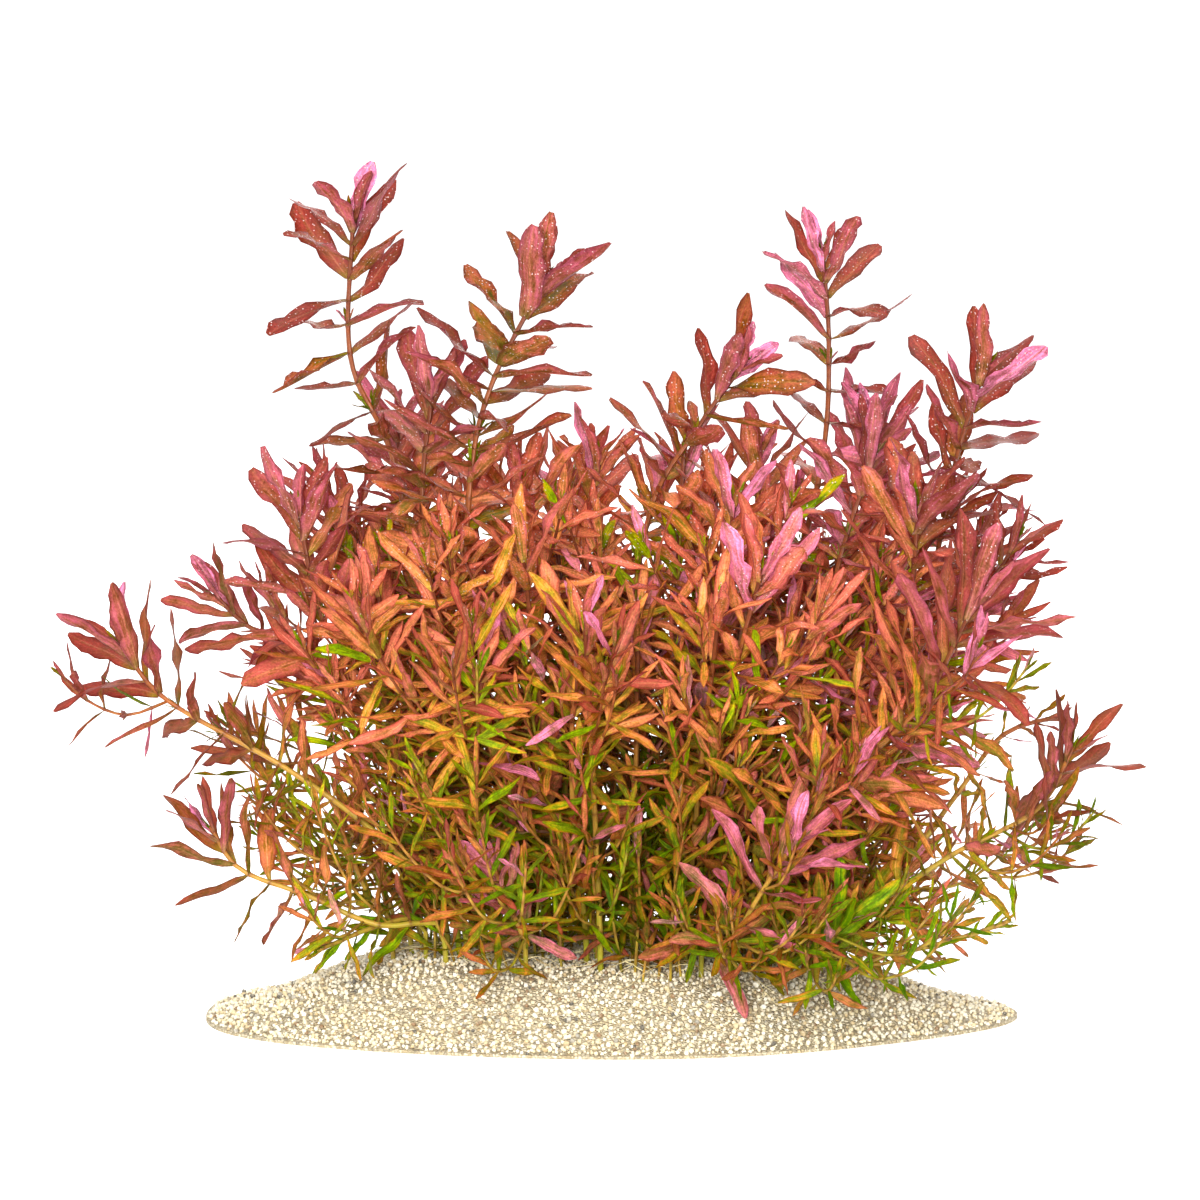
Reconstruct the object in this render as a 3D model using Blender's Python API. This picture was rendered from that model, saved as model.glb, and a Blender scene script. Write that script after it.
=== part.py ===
"""A clump of rotala, a red and green aquarium stem plant, rooted in a low mound of pale gravel.

Every rooted shoot is one solid: a stem with its opposite pairs of narrow leaves. Its foot stands in a
planting hole in the gravel, which is one solid with a flat underside. Lengths are in millimetres until
the meshes are made. X runs along the clump, -Y is its front and Z is up, from the centre of the mound's
underside.
"""

import math
import random
from dataclasses import dataclass, replace

import bmesh
import bpy
from mathutils import Matrix, Vector
from mathutils.bvhtree import BVHTree

MM = 0.001

# The gravel mound
BED_LENGTH = 246.0
BED_DEPTH = 158.0
BED_HEIGHT = 20.0
BED_EDGE = 1.4  # height of the outermost grains
BED_SEGMENTS = 28
BED_RINGS = (1.0, 0.85, 0.68, 0.48)  # shares of the radius, from the rim inwards
BED_SLOPE = 0.55  # share of the radius that the mound's flank takes
BED_RIPPLE = 0.9

# The clump above it
PLANTED_HALF = (66.0, 41.0)  # half size of the patch that the stems stand in
PLANTED_CENTRE = (8.0, 2.0)
CROWN_HALF = (104.0, 80.0)  # half size of the dome that the inner shoots' tips lie on
CROWN_CENTRE = (8.0, 6.0)
CROWN_TOP = 166.0
CROWN_RIM = 94.0
STOREYS = (1.0, 0.92, 0.8)  # the inner shoots' heights, as shares of the dome's
INNER_SHOOTS = 18
INNER_NODES = (1, 4, 7)  # which of its leaf pairs an inner shoot's solid has, from the tip down
INNER_LEAF = (25.0, 32.0)
LOW_SHOOTS = 8  # short ones, from the right of the clump round its back to the left
LOW_FIRST = math.radians(-15)
LOW_STEP = math.radians(30)
LOW_REACH = 1.1  # how far out they stand, as a share of the planted patch
LOW_LEAN = (14.0, 20.0)
LOW_HEIGHT = (34.0, 46.0)
LOW_LEAF = 20.0
LOW_NODES = (0, 2)
GOLDEN_ANGLE = math.radians(137.508)
PLACE_TRIES = 30
PLACE_TURN = math.radians(5)

# Stems
STEM_RADIUS = 0.98  # at the foot
TIP_RADIUS = 0.6
TAPER_LENGTH = 120.0
PLANTING_DEPTH = 9.0
UPRIGHT_START = 12.0  # a stem leaves the gravel nearly upright for this long
START_LEAN = 0.12
HOLE_GAP = 0.35  # between a stem and its planting hole
HOLE_TOP = 5.0  # how far the cutter of a hole stands out of the gravel
RING_SPACING = 36.0  # between the rings of a bare stretch of stem
SURFACE_RING = 2.0  # the first ring above the gravel
STEM_CLEARANCE = 0.6
FOOT_SPACING = 7.0

# Leaf pairs
FIRST_NODE = 2.3  # from the stem's tip to its youngest leaf pair
NODE_STEP = 2.8  # to the next pair, and it grows by NODE_GROWTH each time
NODE_GROWTH = 0.95
LONGEST_INTERNODE = 9.5
NODE_BAND = 1.5  # height of the band of stem that carries a leaf pair
OUTER_NODES = (0, 1, 2, 3, 4, 7, 8, 11)  # the leaf pairs that an outer shoot's solid may have
NODE_JITTER = math.radians(10)
OUTER_TURN = math.radians(47)  # of an outer shoot's first pair, so that all its pairs show at its sides
OUTER_TURN_SPREAD = math.radians(12)
INNER_TURN = math.radians(37)  # from one inner shoot's first pair to the next shoot's

# Leaves
LEAF_WIDTH = 0.225  # share of the leaf's length
WIDEST_AT = 0.42  # share of the leaf's length
KEEL = 0.6  # depth of the midrib under a leaf's blade
SOUND_DEPTH = 0.18  # least depth of a leaf's underside below any part of its upper side
YOUNG_LENGTHS = (0.5, 0.75, 0.95)  # of the three youngest pairs, as shares of a full leaf
OLD_SHRINK = 0.3  # how much shorter the leaves are at the foot than at the top
LENGTH_SPREAD = (0.86, 1.1)
YOUNG_ANGLES = (15.0, 25.0, 35.0, 46.0, 57.0, 66.0)  # between stem and leaf, from the tip down
OLD_ANGLE = 74.0
ANGLE_SPREAD = 12.0
RECURVE = (-22.0, 34.0)  # how far a leaf bends over its length, outwards or back to the stem
YOUNG_RECURVE = (-4.0, 22.0)
ROLL = (25.0, 88.0)  # degrees that a leaf turns about its own length, to show its face to the front
STRAY_ROLL = 28.0  # to either side, on top of that
QUARTER = math.radians(45)  # a leaf that rolls further than this is drawn out of its stem a quarter turned
ROLL_SHARES = (1.0, 0.6, 0.3, 0.0)  # how much of its roll a leaf keeps, where the whole would fold it
LEAF_CLEARANCE = 0.3
SLIM_FOOT = 0.08  # share of the leaf's length
NEAR = 3.0  # leaves whose middles are further apart than their reach and this can't touch
GRAVEL_CLEARANCE = 1.5
LEAF_SWINGS = (0.0, 16.0, -16.0, 32.0, -32.0)  # turns about the stem that a leaf tries for room
LEAF_LIFTS = (0.0, -14.0, 14.0, -28.0)
LEAF_SHARES = (1.0, 0.85, 0.7)


@dataclass(frozen=True)
class Shoot:
    """One rooted stem: where it stands, the points that it passes up to its tip, and its leaves."""

    name: str
    root: tuple
    path: tuple
    leaf: float  # a full leaf's length
    nodes: tuple  # which of its leaf pairs the solid has
    turn: float  # of its first pair
    sway: float  # degrees that its leaves on the +X side hang lower, and those on the -X side higher


# The shoots that stand out of the clump: root, path, a full leaf's length, leaf pairs and sway
OUTER_SHOOTS = {
    "tall_left": ((-38, 10), ((-50, 12, 101), (-62, 14, 166), (-75, 13, 198), (-74, 10, 241)), 31, 8, -26),
    "tall_mid": ((-24, -14), ((-40, -22, 99), (-39, -20, 158), (-33, -18, 190), (-16, -15, 224)), 33, 8, -6),
    "tall_right": ((44, 18), ((55, 18, 111), (67, 19, 166), (69, 19, 201), (67, 18, 229)), 30, 8, 20),
    "leaning_centre": ((8, 4), ((8, 6, 101), (15, 5, 152), (29, 4, 177), (43, 3, 197)), 28, 7, 12),
    "upper_right": ((62, 4), ((90, 3, 93), (102, 1, 144), (107, 0, 170), (115, -2, 196)), 33, 8, 18),
    "big_right": ((40, -34), ((53, -48, 63), (74, -56, 82), (94, -60, 102), (109, -62, 131)), 40, 7, 22),
    "far_right": ((66, -18), ((85, -22, 39), (106, -24, 53), (130, -24, 66), (141, -24, 85)), 30, 7, 10),
    "far_left": ((-42, -8), ((-64, -15, 55), (-93, -17, 77), (-129, -18, 98), (-143, -18, 115)), 32, 7, -8),
    "low_left": ((-46, -24), ((-66, -29, 32), (-87, -30, 41), (-107, -30, 49), (-116, -30, 62)), 29, 6, -8),
    "middle_left": ((-46, 6), ((-58, 3, 73), (-81, 2, 106), (-104, 1, 117), (-116, 0, 128)), 28, 6, -6),
    "upper_left": ((-34, -2), ((-62, -10, 90), (-82, -12, 120), (-90, -12, 154)), 34, 6, 0),
    "back_left": ((-30, 26), ((-46, 38, 93), (-58, 43, 138), (-62, 44, 175)), 30, 6, 0),
    "mid_left": ((-25, -3), ((-44, -4, 96), (-53, -6, 150), (-50, -6, 190)), 32, 6, 0),
    "mid_centre": ((0, 16), ((-2, 22, 96), (-4, 24, 140), (0, 24, 167)), 28, 5, 0),
    "mid_right": ((30, 8), ((38, 10, 96), (46, 12, 140), (48, 12, 170)), 28, 5, 6),
    "crown_right": ((56, -16), ((74, -26, 78), (90, -32, 120), (94, -34, 158)), 36, 6, 10),
    "right_inner": ((52, -6), ((63, -9, 92), (71, -10, 137), (82, -9, 171)), 30, 6, 10),
    "front_rose": ((30, -38), ((38, -58, 31), (46, -70, 46), (57, -76, 64)), 33, 4, 8),
    "front_small": ((-22, -38), ((-23, -53, 33), (-32, -60, 56)), 20, 4, 0),
    "front_orange": ((54, -36), ((63, -54, 27), (73, -68, 40)), 27, 5, 10),
    "front_red": ((26, -20), ((34, -38, 78), (41, -45, 115), (48, -48, 141)), 31, 6, 0),
    "front_middle": ((-4, -24), ((-8, -40, 68), (-8, -48, 101), (-6, -51, 128)), 27, 5, 0),
    "front_left": ((-30, -28), ((-36, -42, 64), (-36, -50, 91), (-34, -53, 116)), 26, 6, 0),
    "creeping_left": ((-52, -14), ((-66, -24, 31), (-84, -34, 25)), 15, 3, 0),
    "runner_right": ((72, -2), ((92, -3, 47), (108, -4, 69), (121, -5, 86), (139, -5, 92)), 12, 4, 0),
    "runner_low": ((68, -30), ((87, -33, 24), (108, -33, 29), (122, -34, 34)), 9, 3, 0),
    "mid_front": ((18, -8), ((30, -14, 84), (36, -16, 122), (40, -18, 158)), 32, 5, 4),
    "mid_upper": ((-12, 6), ((-22, 6, 90), (-24, 4, 130), (-24, 2, 160)), 30, 5, 0),
    "back_right": ((58, 14), ((72, 22, 96), (80, 24, 140), (82, 22, 178)), 32, 6, 6),
}

# Finishes: base colour and roughness
FINISHES = {
    "copper": ((0.42, 0.11, 0.06), 0.45),
    "rose": ((0.62, 0.17, 0.19), 0.42),
    "olive": ((0.30, 0.17, 0.03), 0.48),
    "green": ((0.20, 0.23, 0.02), 0.5),
    "gravel": ((0.72, 0.66, 0.52), 0.85),
}
GREEN_BELOW = 50.0
OLIVE_BELOW = 105.0
ROSE_BEFORE = -45.0


@dataclass(frozen=True)
class Leaf:
    """A blade that springs from a stem and bends in one plane."""

    base: Vector
    along: Vector  # the stem's direction there
    facing: Vector  # the way that its foot faces, square to the stem
    outward: Vector  # the way that it grows, square to the stem
    angle: float
    recurve: float
    roll: float
    length: float
    stem_radius: float

    def point(self, share: float) -> Vector:
        """The midrib's point at this share of the leaf's length."""
        chord_angle = self.angle + self.recurve * share / 2
        heading = self.along * math.cos(chord_angle) + self.outward * math.sin(chord_angle)
        return self.base + heading * self.length * share

    def foot_sides(self) -> tuple:
        """Half the width and half the height of its foot, as vectors, turned by a strong roll."""
        across = self.along.cross(self.facing) * self.stem_radius
        up = self.along * NODE_BAND / 2
        if abs(self.roll) > QUARTER:
            return (up, -across) if self.roll > 0 else (-up, across)
        return across, up

    def foot(self, grow: float = 0.0) -> tuple:
        """Its foot on the stem: upper left, upper right, lower right and lower left corner."""
        across, up = (side * (1 + grow / side.length) for side in self.foot_sides())
        base = self.base
        return base - across + up, base + across + up, base + across - up, base - across - up

    def is_sound(self) -> bool:
        """Whether its underside stays under its upper side, which a strong roll would prevent."""
        left_foot, right_foot, *under_foot = self.foot()
        left, right, _, keel, _ = self.corners()
        upper = [(left_foot, right_foot, right), (left_foot, right, left)]
        upper += [(left_foot, right_foot, left), (right_foot, right, left)]
        for a, b, c in upper:
            under = (b - a).cross(c - a).normalized()
            if any((p - a).dot(under) < SOUND_DEPTH for p in (*under_foot, keel)):
                return False
        return True

    def corners(self, grow: float = 0.0) -> tuple:
        """The widest section's left and right margins, top and keel, and the leaf's tip."""
        middle, tip = self.point(WIDEST_AT), self.point(1.0)
        heading = (tip - middle).normalized()
        across = Matrix.Rotation(self.roll, 3, heading) @ self.along.cross(self.outward)
        under = across.cross(heading)
        half = across * (self.length * LEAF_WIDTH / 2 + grow)
        top = middle - under * grow
        return middle - half, middle + half, top, middle + under * (KEEL + grow), tip + heading * grow

    def swung(self, swing: float, lift: float, share: float) -> "Leaf":
        """The same leaf, turned about its stem, lifted or lowered, and shortened."""
        outward = Matrix.Rotation(math.radians(swing), 3, self.along) @ self.outward
        angle = min(max(self.angle + math.radians(lift), math.radians(10)), math.radians(112))
        return replace(self, outward=outward, angle=angle, length=self.length * share)


@dataclass(frozen=True)
class Pair:
    """Two opposite leaves and the band of stem that they grow from."""

    run: float  # from the stem's tip
    turn: float  # of the band's ring
    first_face: int  # of the ring's four sides, the one that carries the first leaf
    leaves: tuple


def bed_rim(angle: float) -> float:
    """How far the mound's uneven rim runs at this angle, as a share of its ellipse."""
    return 1 + 0.016 * math.sin(3 * angle + 0.8) + 0.02 * math.sin(5 * angle + 2.0)


def bed_surface(x: float, y: float) -> float:
    """Height of the gravel at a point."""
    angle = math.atan2(y / BED_DEPTH, x / BED_LENGTH)
    share = math.hypot(2 * x / BED_LENGTH, 2 * y / BED_DEPTH) / bed_rim(angle)
    if share > 1:
        return 0.0
    climb = min(1.0, (1 - share) / BED_SLOPE)
    swell = climb * climb * (3 - 2 * climb)
    ripple = BED_RIPPLE * math.sin(x / 19 + 1.0) * math.cos(y / 16)
    return BED_EDGE + (BED_HEIGHT - BED_EDGE + ripple) * swell


def dome_height(share: float) -> float:
    """Height of the inner shoots' tips at this share of the crown's radius."""
    return CROWN_RIM + (CROWN_TOP - CROWN_RIM) * math.sqrt(max(0.0, 1 - share**3))


def smooth_curve(points: list, steps: int = 12) -> list:
    """A Catmull-Rom curve through the points."""
    ends = [points[0] * 2 - points[1], *points, points[-1] * 2 - points[-2]]
    curve = []
    for a, b, c, d in zip(ends, ends[1:], ends[2:], ends[3:]):
        for step in range(steps):
            t = step / steps
            bend = (2 * a - 5 * b + 4 * c - d) * t**2 + (3 * (b - c) + d - a) * t**3
            curve.append(0.5 * (2 * b + (c - a) * t + bend))
    return [*curve, points[-1]]


class Stem:
    """A stem's centre line, measured from its tip down, with a frame that doesn't twist."""

    def __init__(self, shoot: Shoot):
        foot = Vector((*shoot.root, bed_surface(*shoot.root)))
        lean = (Vector(shoot.path[0]) - foot) * START_LEAN
        start = Vector((lean.x, lean.y, UPRIGHT_START))
        buried = foot - start.normalized() * PLANTING_DEPTH
        above = [foot + start, *map(Vector, shoot.path)]
        self.points = [buried, *smooth_curve([foot, *above])][::-1]
        self.runs = [0.0]
        for a, b in zip(self.points, self.points[1:]):
            self.runs.append(self.runs[-1] + (b - a).length)
        self.length = self.runs[-1]
        self.surface = self.length - PLANTING_DEPTH
        self.sides = []
        side = Vector((0, -1, 0))
        for i in range(len(self.points)):
            heading = self.heading(i)
            side = (side - heading * side.dot(heading)).normalized()
            self.sides.append(side.copy())

    def heading(self, i: int) -> Vector:
        """Direction towards the tip at point i."""
        below, above = min(i + 1, len(self.points) - 1), max(i - 1, 0)
        return (self.points[above] - self.points[below]).normalized()

    def at(self, run: float) -> tuple:
        """Centre, heading and side at this distance below the tip."""
        i = next(k for k in range(1, len(self.runs)) if self.runs[k] >= run - 1e-6)
        share = (run - self.runs[i - 1]) / (self.runs[i] - self.runs[i - 1])
        centre = self.points[i - 1].lerp(self.points[i], share)
        heading = self.heading(i - 1).lerp(self.heading(i), share).normalized()
        side = self.sides[i - 1].lerp(self.sides[i], share)
        return centre, heading, (side - heading * side.dot(heading)).normalized()

    def radius(self, run: float) -> float:
        """The stem's radius at this distance below the tip."""
        return TIP_RADIUS + (STEM_RADIUS - TIP_RADIUS) * min(1.0, run / TAPER_LENGTH)

    def ring(self, run: float, turn: float, grow: float = 0.0) -> list:
        """The four corners of the stem there: its side k faces the turn plus k quarter turns."""
        centre, heading, side = self.at(run)
        corner = side * (self.radius(run) + grow) * math.sqrt(2)
        spins = [Matrix.Rotation(turn + math.radians(90 * k - 45), 3, heading) for k in range(4)]
        return [centre + spin @ corner for spin in spins]


def ring_plan(stem: Stem, pairs: list) -> tuple:
    """Runs and turns of the stem's rings from the foot up, and each pair's place among them."""
    turn = pairs[0].turn
    lowest = pairs[-1].run + NODE_BAND / 2
    rings = [(stem.length, turn), (stem.surface - SURFACE_RING, turn)]
    bare = rings[-1][0] - lowest
    count = max(1, round(bare / RING_SPACING))
    rings += [(rings[1][0] - bare * i / count, turn) for i in range(1, count)]
    bands = []
    for pair in reversed(pairs):
        low, high = pair.run + NODE_BAND / 2, pair.run - NODE_BAND / 2
        if rings[-1][0] - low > NODE_BAND / 2:
            rings.append((low, pair.turn))
        bands.append((len(rings) - 1, pair))
        rings.append((high, pair.turn))
    return rings, bands


def tube_tree(stem: Stem, rings: list, grow: float) -> BVHTree:
    """The space that a stem takes with this much room around it."""
    points, faces = [], []
    for run, turn in rings:
        points += stem.ring(run, turn, grow)
    for i in range(0, len(points) - 4, 4):
        faces += [(i + k, i + (k + 1) % 4, i + (k + 1) % 4 + 4, i + k + 4) for k in range(4)]
    return BVHTree.FromPolygons(points, faces)


def slim_tree(leaf: Leaf) -> BVHTree:
    """The space that a leaf takes beside its own shoot's leaves: its foot is a point clear of the stem."""
    points = [leaf.point(SLIM_FOOT), *leaf.corners(LEAF_CLEARANCE)]
    faces = [(0, 3, 1), (0, 2, 3), (0, 1, 4), (0, 4, 2), (5, 1, 3), (5, 3, 2), (5, 4, 1), (5, 2, 4)]
    return BVHTree.FromPolygons(points, faces)


def full_tree(leaf: Leaf) -> BVHTree:
    """The space that a leaf takes among other shoots, with the whole of its foot."""
    points = [*leaf.foot(LEAF_CLEARANCE), *leaf.corners(LEAF_CLEARANCE)]
    beside_foot = [(0, 1, 6), (0, 6, 4), (1, 5, 6), (3, 2, 7), (3, 7, 4), (2, 5, 7), (0, 4, 3), (1, 2, 5)]
    beside_tip = [(8, 4, 6), (8, 6, 5), (8, 5, 7), (8, 7, 4)]
    return BVHTree.FromPolygons(points, beside_foot + beside_tip)


def leaf_pair(shoot: Shoot, stem: Stem, number: int, run: float) -> Pair:
    """Pair number of the shoot, square to the pair before it, give or take."""
    chance = random.Random(f"{shoot.name} {number}")
    turn = shoot.turn + chance.uniform(-NODE_JITTER, NODE_JITTER)
    young = number < len(YOUNG_LENGTHS)
    size = YOUNG_LENGTHS[number] if young else 1 - OLD_SHRINK * run / stem.length
    angle = YOUNG_ANGLES[number] if number < len(YOUNG_ANGLES) else OLD_ANGLE
    centre, heading, side = stem.at(run)
    leaves = []
    for face in (number % 2, number % 2 + 2):
        outward = Matrix.Rotation(turn + math.radians(90 * face), 3, heading) @ side
        spread = chance.uniform(-ANGLE_SPREAD, ANGLE_SPREAD)
        front = heading.cross(outward).y
        leaves.append(
            Leaf(
                base=centre + outward * stem.radius(run),
                along=heading,
                facing=outward,
                outward=outward,
                angle=math.radians(max(12.0, angle + spread + shoot.sway * outward.x)),
                recurve=math.radians(chance.uniform(*(YOUNG_RECURVE if young else RECURVE))),
                roll=math.radians(front * chance.uniform(*ROLL) + chance.uniform(-STRAY_ROLL, STRAY_ROLL)),
                length=shoot.leaf * size * chance.uniform(*LENGTH_SPREAD),
                stem_radius=stem.radius(run),
            )
        )
    return Pair(run, turn, number % 2, tuple(leaves))


def node_runs(stem: Stem) -> list:
    """Distances below the tip of all of a stem's nodes, closer together the younger they are."""
    runs, run, step = [], FIRST_NODE, NODE_STEP
    while run < stem.surface - UPRIGHT_START:
        runs.append(run)
        run += step
        step = min(step + NODE_GROWTH, LONGEST_INTERNODE)
    return runs


def leaf_pairs(shoot: Shoot, stem: Stem) -> list:
    """The leaf pairs that the shoot's solid has, from its tip down."""
    runs = node_runs(stem)
    return [leaf_pair(shoot, stem, number, runs[number]) for number in shoot.nodes if number < len(runs)]


def outer_shoot(name: str, number: int) -> Shoot:
    """One of the shoots that stand out of the clump."""
    root, path, leaf, pairs, sway = OUTER_SHOOTS[name]
    turn = OUTER_TURN + OUTER_TURN_SPREAD * math.sin(2.4 * number)
    return Shoot(name, root, path, leaf, OUTER_NODES[:pairs], turn, sway)


def inner_shoot(number: int, twist: float) -> Shoot:
    """One of the shoots that fill the clump: its foot and its tip keep to one spoke of a spiral."""
    share = math.sqrt((number + 0.5) / INNER_SHOOTS)
    spoke = number * GOLDEN_ANGLE + twist
    chance = random.Random(77 + number)
    height = dome_height(share) * STOREYS[number % len(STOREYS)] * chance.uniform(0.95, 1.05)
    reach = Vector((math.cos(spoke), math.sin(spoke))) * share
    root = Vector(PLANTED_CENTRE) + reach * Vector(PLANTED_HALF)
    tip = Vector(CROWN_CENTRE) + reach * Vector(CROWN_HALF)
    bend = root.lerp(tip, 0.42)
    path = ((*bend, 0.58 * height), (*tip, height))
    leaf, turn = chance.uniform(*INNER_LEAF), INNER_TURN * number
    return Shoot(f"inner_{number + 1:02d}", tuple(root), path, leaf, INNER_NODES, turn, 0.0)


def low_shoot(number: int, twist: float) -> Shoot:
    """One of the short shoots that lean out round the clump's foot."""
    spoke = LOW_FIRST + number * LOW_STEP + twist
    chance = random.Random(310 + number)
    outward = Vector((math.cos(spoke), math.sin(spoke)))
    root = Vector(PLANTED_CENTRE) + outward * Vector(PLANTED_HALF) * LOW_REACH
    tip = root + outward * chance.uniform(*LOW_LEAN)
    height = bed_surface(*root) + chance.uniform(*LOW_HEIGHT)
    path = ((*root.lerp(tip, 0.5), 0.66 * height), (*tip, height))
    return Shoot(f"low_{number + 1:02d}", tuple(root), path, LOW_LEAF, LOW_NODES, INNER_TURN * number, 0.0)


class Clump:
    """All shoots, each placed where its stem has room and with the leaves that have room."""

    def __init__(self):
        self.shoots = []
        self.leaf_trees = []

    def try_stem(self, shoot: Shoot) -> bool:
        """Adds the shoot if its stem keeps clear of the others."""
        stem = Stem(shoot)
        pairs = leaf_pairs(shoot, stem)
        rings, bands = ring_plan(stem, pairs)
        tree = tube_tree(stem, rings, STEM_CLEARANCE)
        foot = Vector(shoot.root)
        for other in self.shoots:
            near = (foot - Vector(other["shoot"].root)).length < FOOT_SPACING
            if near or tree.overlap(other["tree"]):
                return False
        self.shoots.append({"shoot": shoot, "stem": stem, "rings": rings, "bands": bands, "tree": tree})
        return True

    def place_stems(self):
        """Adds the outer shoots, then the inner ones, turned about the clump until they fit."""
        for number, name in enumerate(OUTER_SHOOTS):
            if not self.try_stem(outer_shoot(name, number)):
                print("no room for", name)
        for number in range(INNER_SHOOTS):
            tries = (PLACE_TURN * ((k + 1) // 2) * (-1) ** k for k in range(PLACE_TRIES))
            if not any(self.try_stem(inner_shoot(number, twist)) for twist in tries):
                print("no room for inner shoot", number + 1)
        for number in range(LOW_SHOOTS):
            tries = (PLACE_TURN / 2 * ((k + 1) // 2) * (-1) ** k for k in range(PLACE_TRIES))
            if not any(self.try_stem(low_shoot(number, twist)) for twist in tries):
                print("no room for low shoot", number + 1)

    def has_room(self, leaf: Leaf, own: dict) -> bool:
        """Whether a leaf keeps clear of the gravel, its own stem, other stems and other leaves."""
        *section, tip = leaf.corners()
        if any(p.z < bed_surface(p.x, p.y) + GRAVEL_CLEARANCE for p in (*section, tip)):
            return False
        reach = tip - leaf.base
        drift = reach - leaf.along * reach.dot(leaf.along)
        if drift.dot(leaf.outward) < leaf.length * 0.1:
            return False
        slim, full = slim_tree(leaf), full_tree(leaf)
        for other in self.shoots:
            if other is not own and full.overlap(other["tree"]):
                return False
        middle, reach = leaf.point(0.5), leaf.length / 2 + NEAR
        for centre, size, shoot, slim_space, full_space in self.leaf_trees:
            if (centre - middle).length < size + reach:
                if slim.overlap(slim_space) if shoot is own else full.overlap(full_space):
                    return False
        self.leaf_trees.append((middle, reach, own, slim, full))
        return True

    def fit_leaf(self, leaf: Leaf, own: dict):
        """The leaf as it is, or swung or shortened until it has room, or None."""
        for share in LEAF_SHARES:
            for lift in LEAF_LIFTS:
                for swing in LEAF_SWINGS:
                    trial = leaf.swung(swing, lift, share)
                    rolled = (replace(trial, roll=trial.roll * part) for part in ROLL_SHARES)
                    trial = next((blade for blade in rolled if blade.is_sound()), None)
                    if trial and self.has_room(trial, own):
                        return trial
        return None

    def place_leaves(self):
        """Fits every shoot's leaves."""
        for own in self.shoots:
            own["leaves"] = []
            for ring, pair in reversed(own["bands"]):
                for side, leaf in enumerate(pair.leaves):
                    fitted = self.fit_leaf(leaf, own)
                    if fitted:
                        own["leaves"].append((ring, pair.first_face + 2 * side, fitted))


def extrude(bm: bmesh.types.BMesh, face: bmesh.types.BMFace, points: list) -> bmesh.types.BMFace:
    """Extrudes a face, with the new face's corners at these points."""
    end = bmesh.ops.extrude_discrete_faces(bm, faces=[face])["faces"][0]
    for vert, point in zip(end.verts, points):
        vert.co = point
    return end


def side_faces(end: bmesh.types.BMFace) -> list:
    """The faces beside an extruded face, in the order of its edges."""
    return [next(f for f in edge.link_faces if f is not end) for edge in end.edges]


def grow_leaf(bm: bmesh.types.BMesh, face: bmesh.types.BMFace, leaf: Leaf):
    """Draws a leaf out of one side of its stem, to its widest section and on to its tip."""
    left, right, _, keel, tip = leaf.corners()
    across, up = leaf.foot_sides()
    centre = face.calc_center_median()
    offsets = [vert.co - centre for vert in face.verts]
    spots = [(right if o.dot(across) > 0 else left) if o.dot(up) > 0 else keel for o in offsets]
    blade = extrude(bm, face, spots)
    under = [vert for vert, spot in zip(blade.verts, spots) if spot is keel]
    bmesh.ops.poke(bm, faces=[blade])["verts"][0].co = tip
    bmesh.ops.pointmerge(bm, verts=under, merge_co=keel)


def first_face(bm: bmesh.types.BMesh, points: list) -> bmesh.types.BMFace:
    """A face through these points, to extrude a piece from."""
    circle = bmesh.ops.create_circle(bm, cap_ends=True, segments=len(points), radius=1)
    face = circle["verts"][0].link_faces[0]
    for vert, point in zip(face.verts, points):
        vert.co = point
    return face


def finished_object(name: str, bm: bmesh.types.BMesh, finish: str) -> bpy.types.Object:
    """An object from the mesh in millimetres, with its own material."""
    bmesh.ops.recalc_face_normals(bm, faces=bm.faces)
    if bm.calc_volume(signed=True) < 0:
        bmesh.ops.reverse_faces(bm, faces=bm.faces)
    bmesh.ops.scale(bm, vec=(MM, MM, MM), verts=bm.verts)
    mesh = bpy.data.meshes.new(name)
    bm.to_mesh(mesh)
    bm.free()
    part = bpy.data.objects.new(name, mesh)
    bpy.context.collection.objects.link(part)
    material = bpy.data.materials.new(name)
    material.use_nodes = True
    shader = material.node_tree.nodes["Principled BSDF"]
    colour, roughness = FINISHES[finish]
    shader.inputs["Base Color"].default_value = (*colour, 1)
    shader.inputs["Roughness"].default_value = roughness
    shader.inputs["Metallic"].default_value = 0.0
    mesh.materials.append(material)
    return part


def shoot_finish(shoot: Shoot) -> str:
    """Creeping shoots are green, those in front rosy, and the rest olive below and copper above."""
    _, y, z = shoot.path[-1]
    if z < GREEN_BELOW:
        return "green"
    if y < ROSE_BEFORE:
        return "rose"
    return "olive" if z < OLIVE_BELOW else "copper"


def build_shoot(own: dict) -> bpy.types.Object:
    """A stem of rings with its leaves grown out of it."""
    bm = bmesh.new()
    stem = own["stem"]
    rings = [stem.ring(run, turn) for run, turn in own["rings"]]
    end = first_face(bm, rings[0])
    sides = []
    for points in rings[1:]:
        end = extrude(bm, end, points)
        sides.append(side_faces(end))
    bmesh.ops.poke(bm, faces=[end])["verts"][0].co = stem.points[0]
    for ring, face, leaf in own["leaves"]:
        grow_leaf(bm, sides[ring][face % 4], leaf)
    bmesh.ops.holes_fill(bm, edges=bm.edges, sides=4)
    return finished_object(f"shoot_{own['shoot'].name}", bm, shoot_finish(own["shoot"]))


def hole_cutter(shoots: list) -> bpy.types.Object:
    """The stems' planting holes as one cutter: a square bar round each buried foot."""
    bm = bmesh.new()
    for own in shoots:
        stem = own["stem"]
        heading = (stem.points[-2] - stem.points[-1]).normalized()
        low = stem.ring(stem.length, own["rings"][0][1], HOLE_GAP)
        face = first_face(bm, [p - heading * HOLE_GAP for p in low])
        extrude(bm, face, [p + heading * (PLANTING_DEPTH + HOLE_TOP) for p in low])
    bmesh.ops.holes_fill(bm, edges=bm.edges, sides=4)
    cutter = finished_object("planting_holes", bm, "gravel")
    cutter.hide_render = True
    cutter.display_type = "WIRE"
    return cutter


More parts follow.
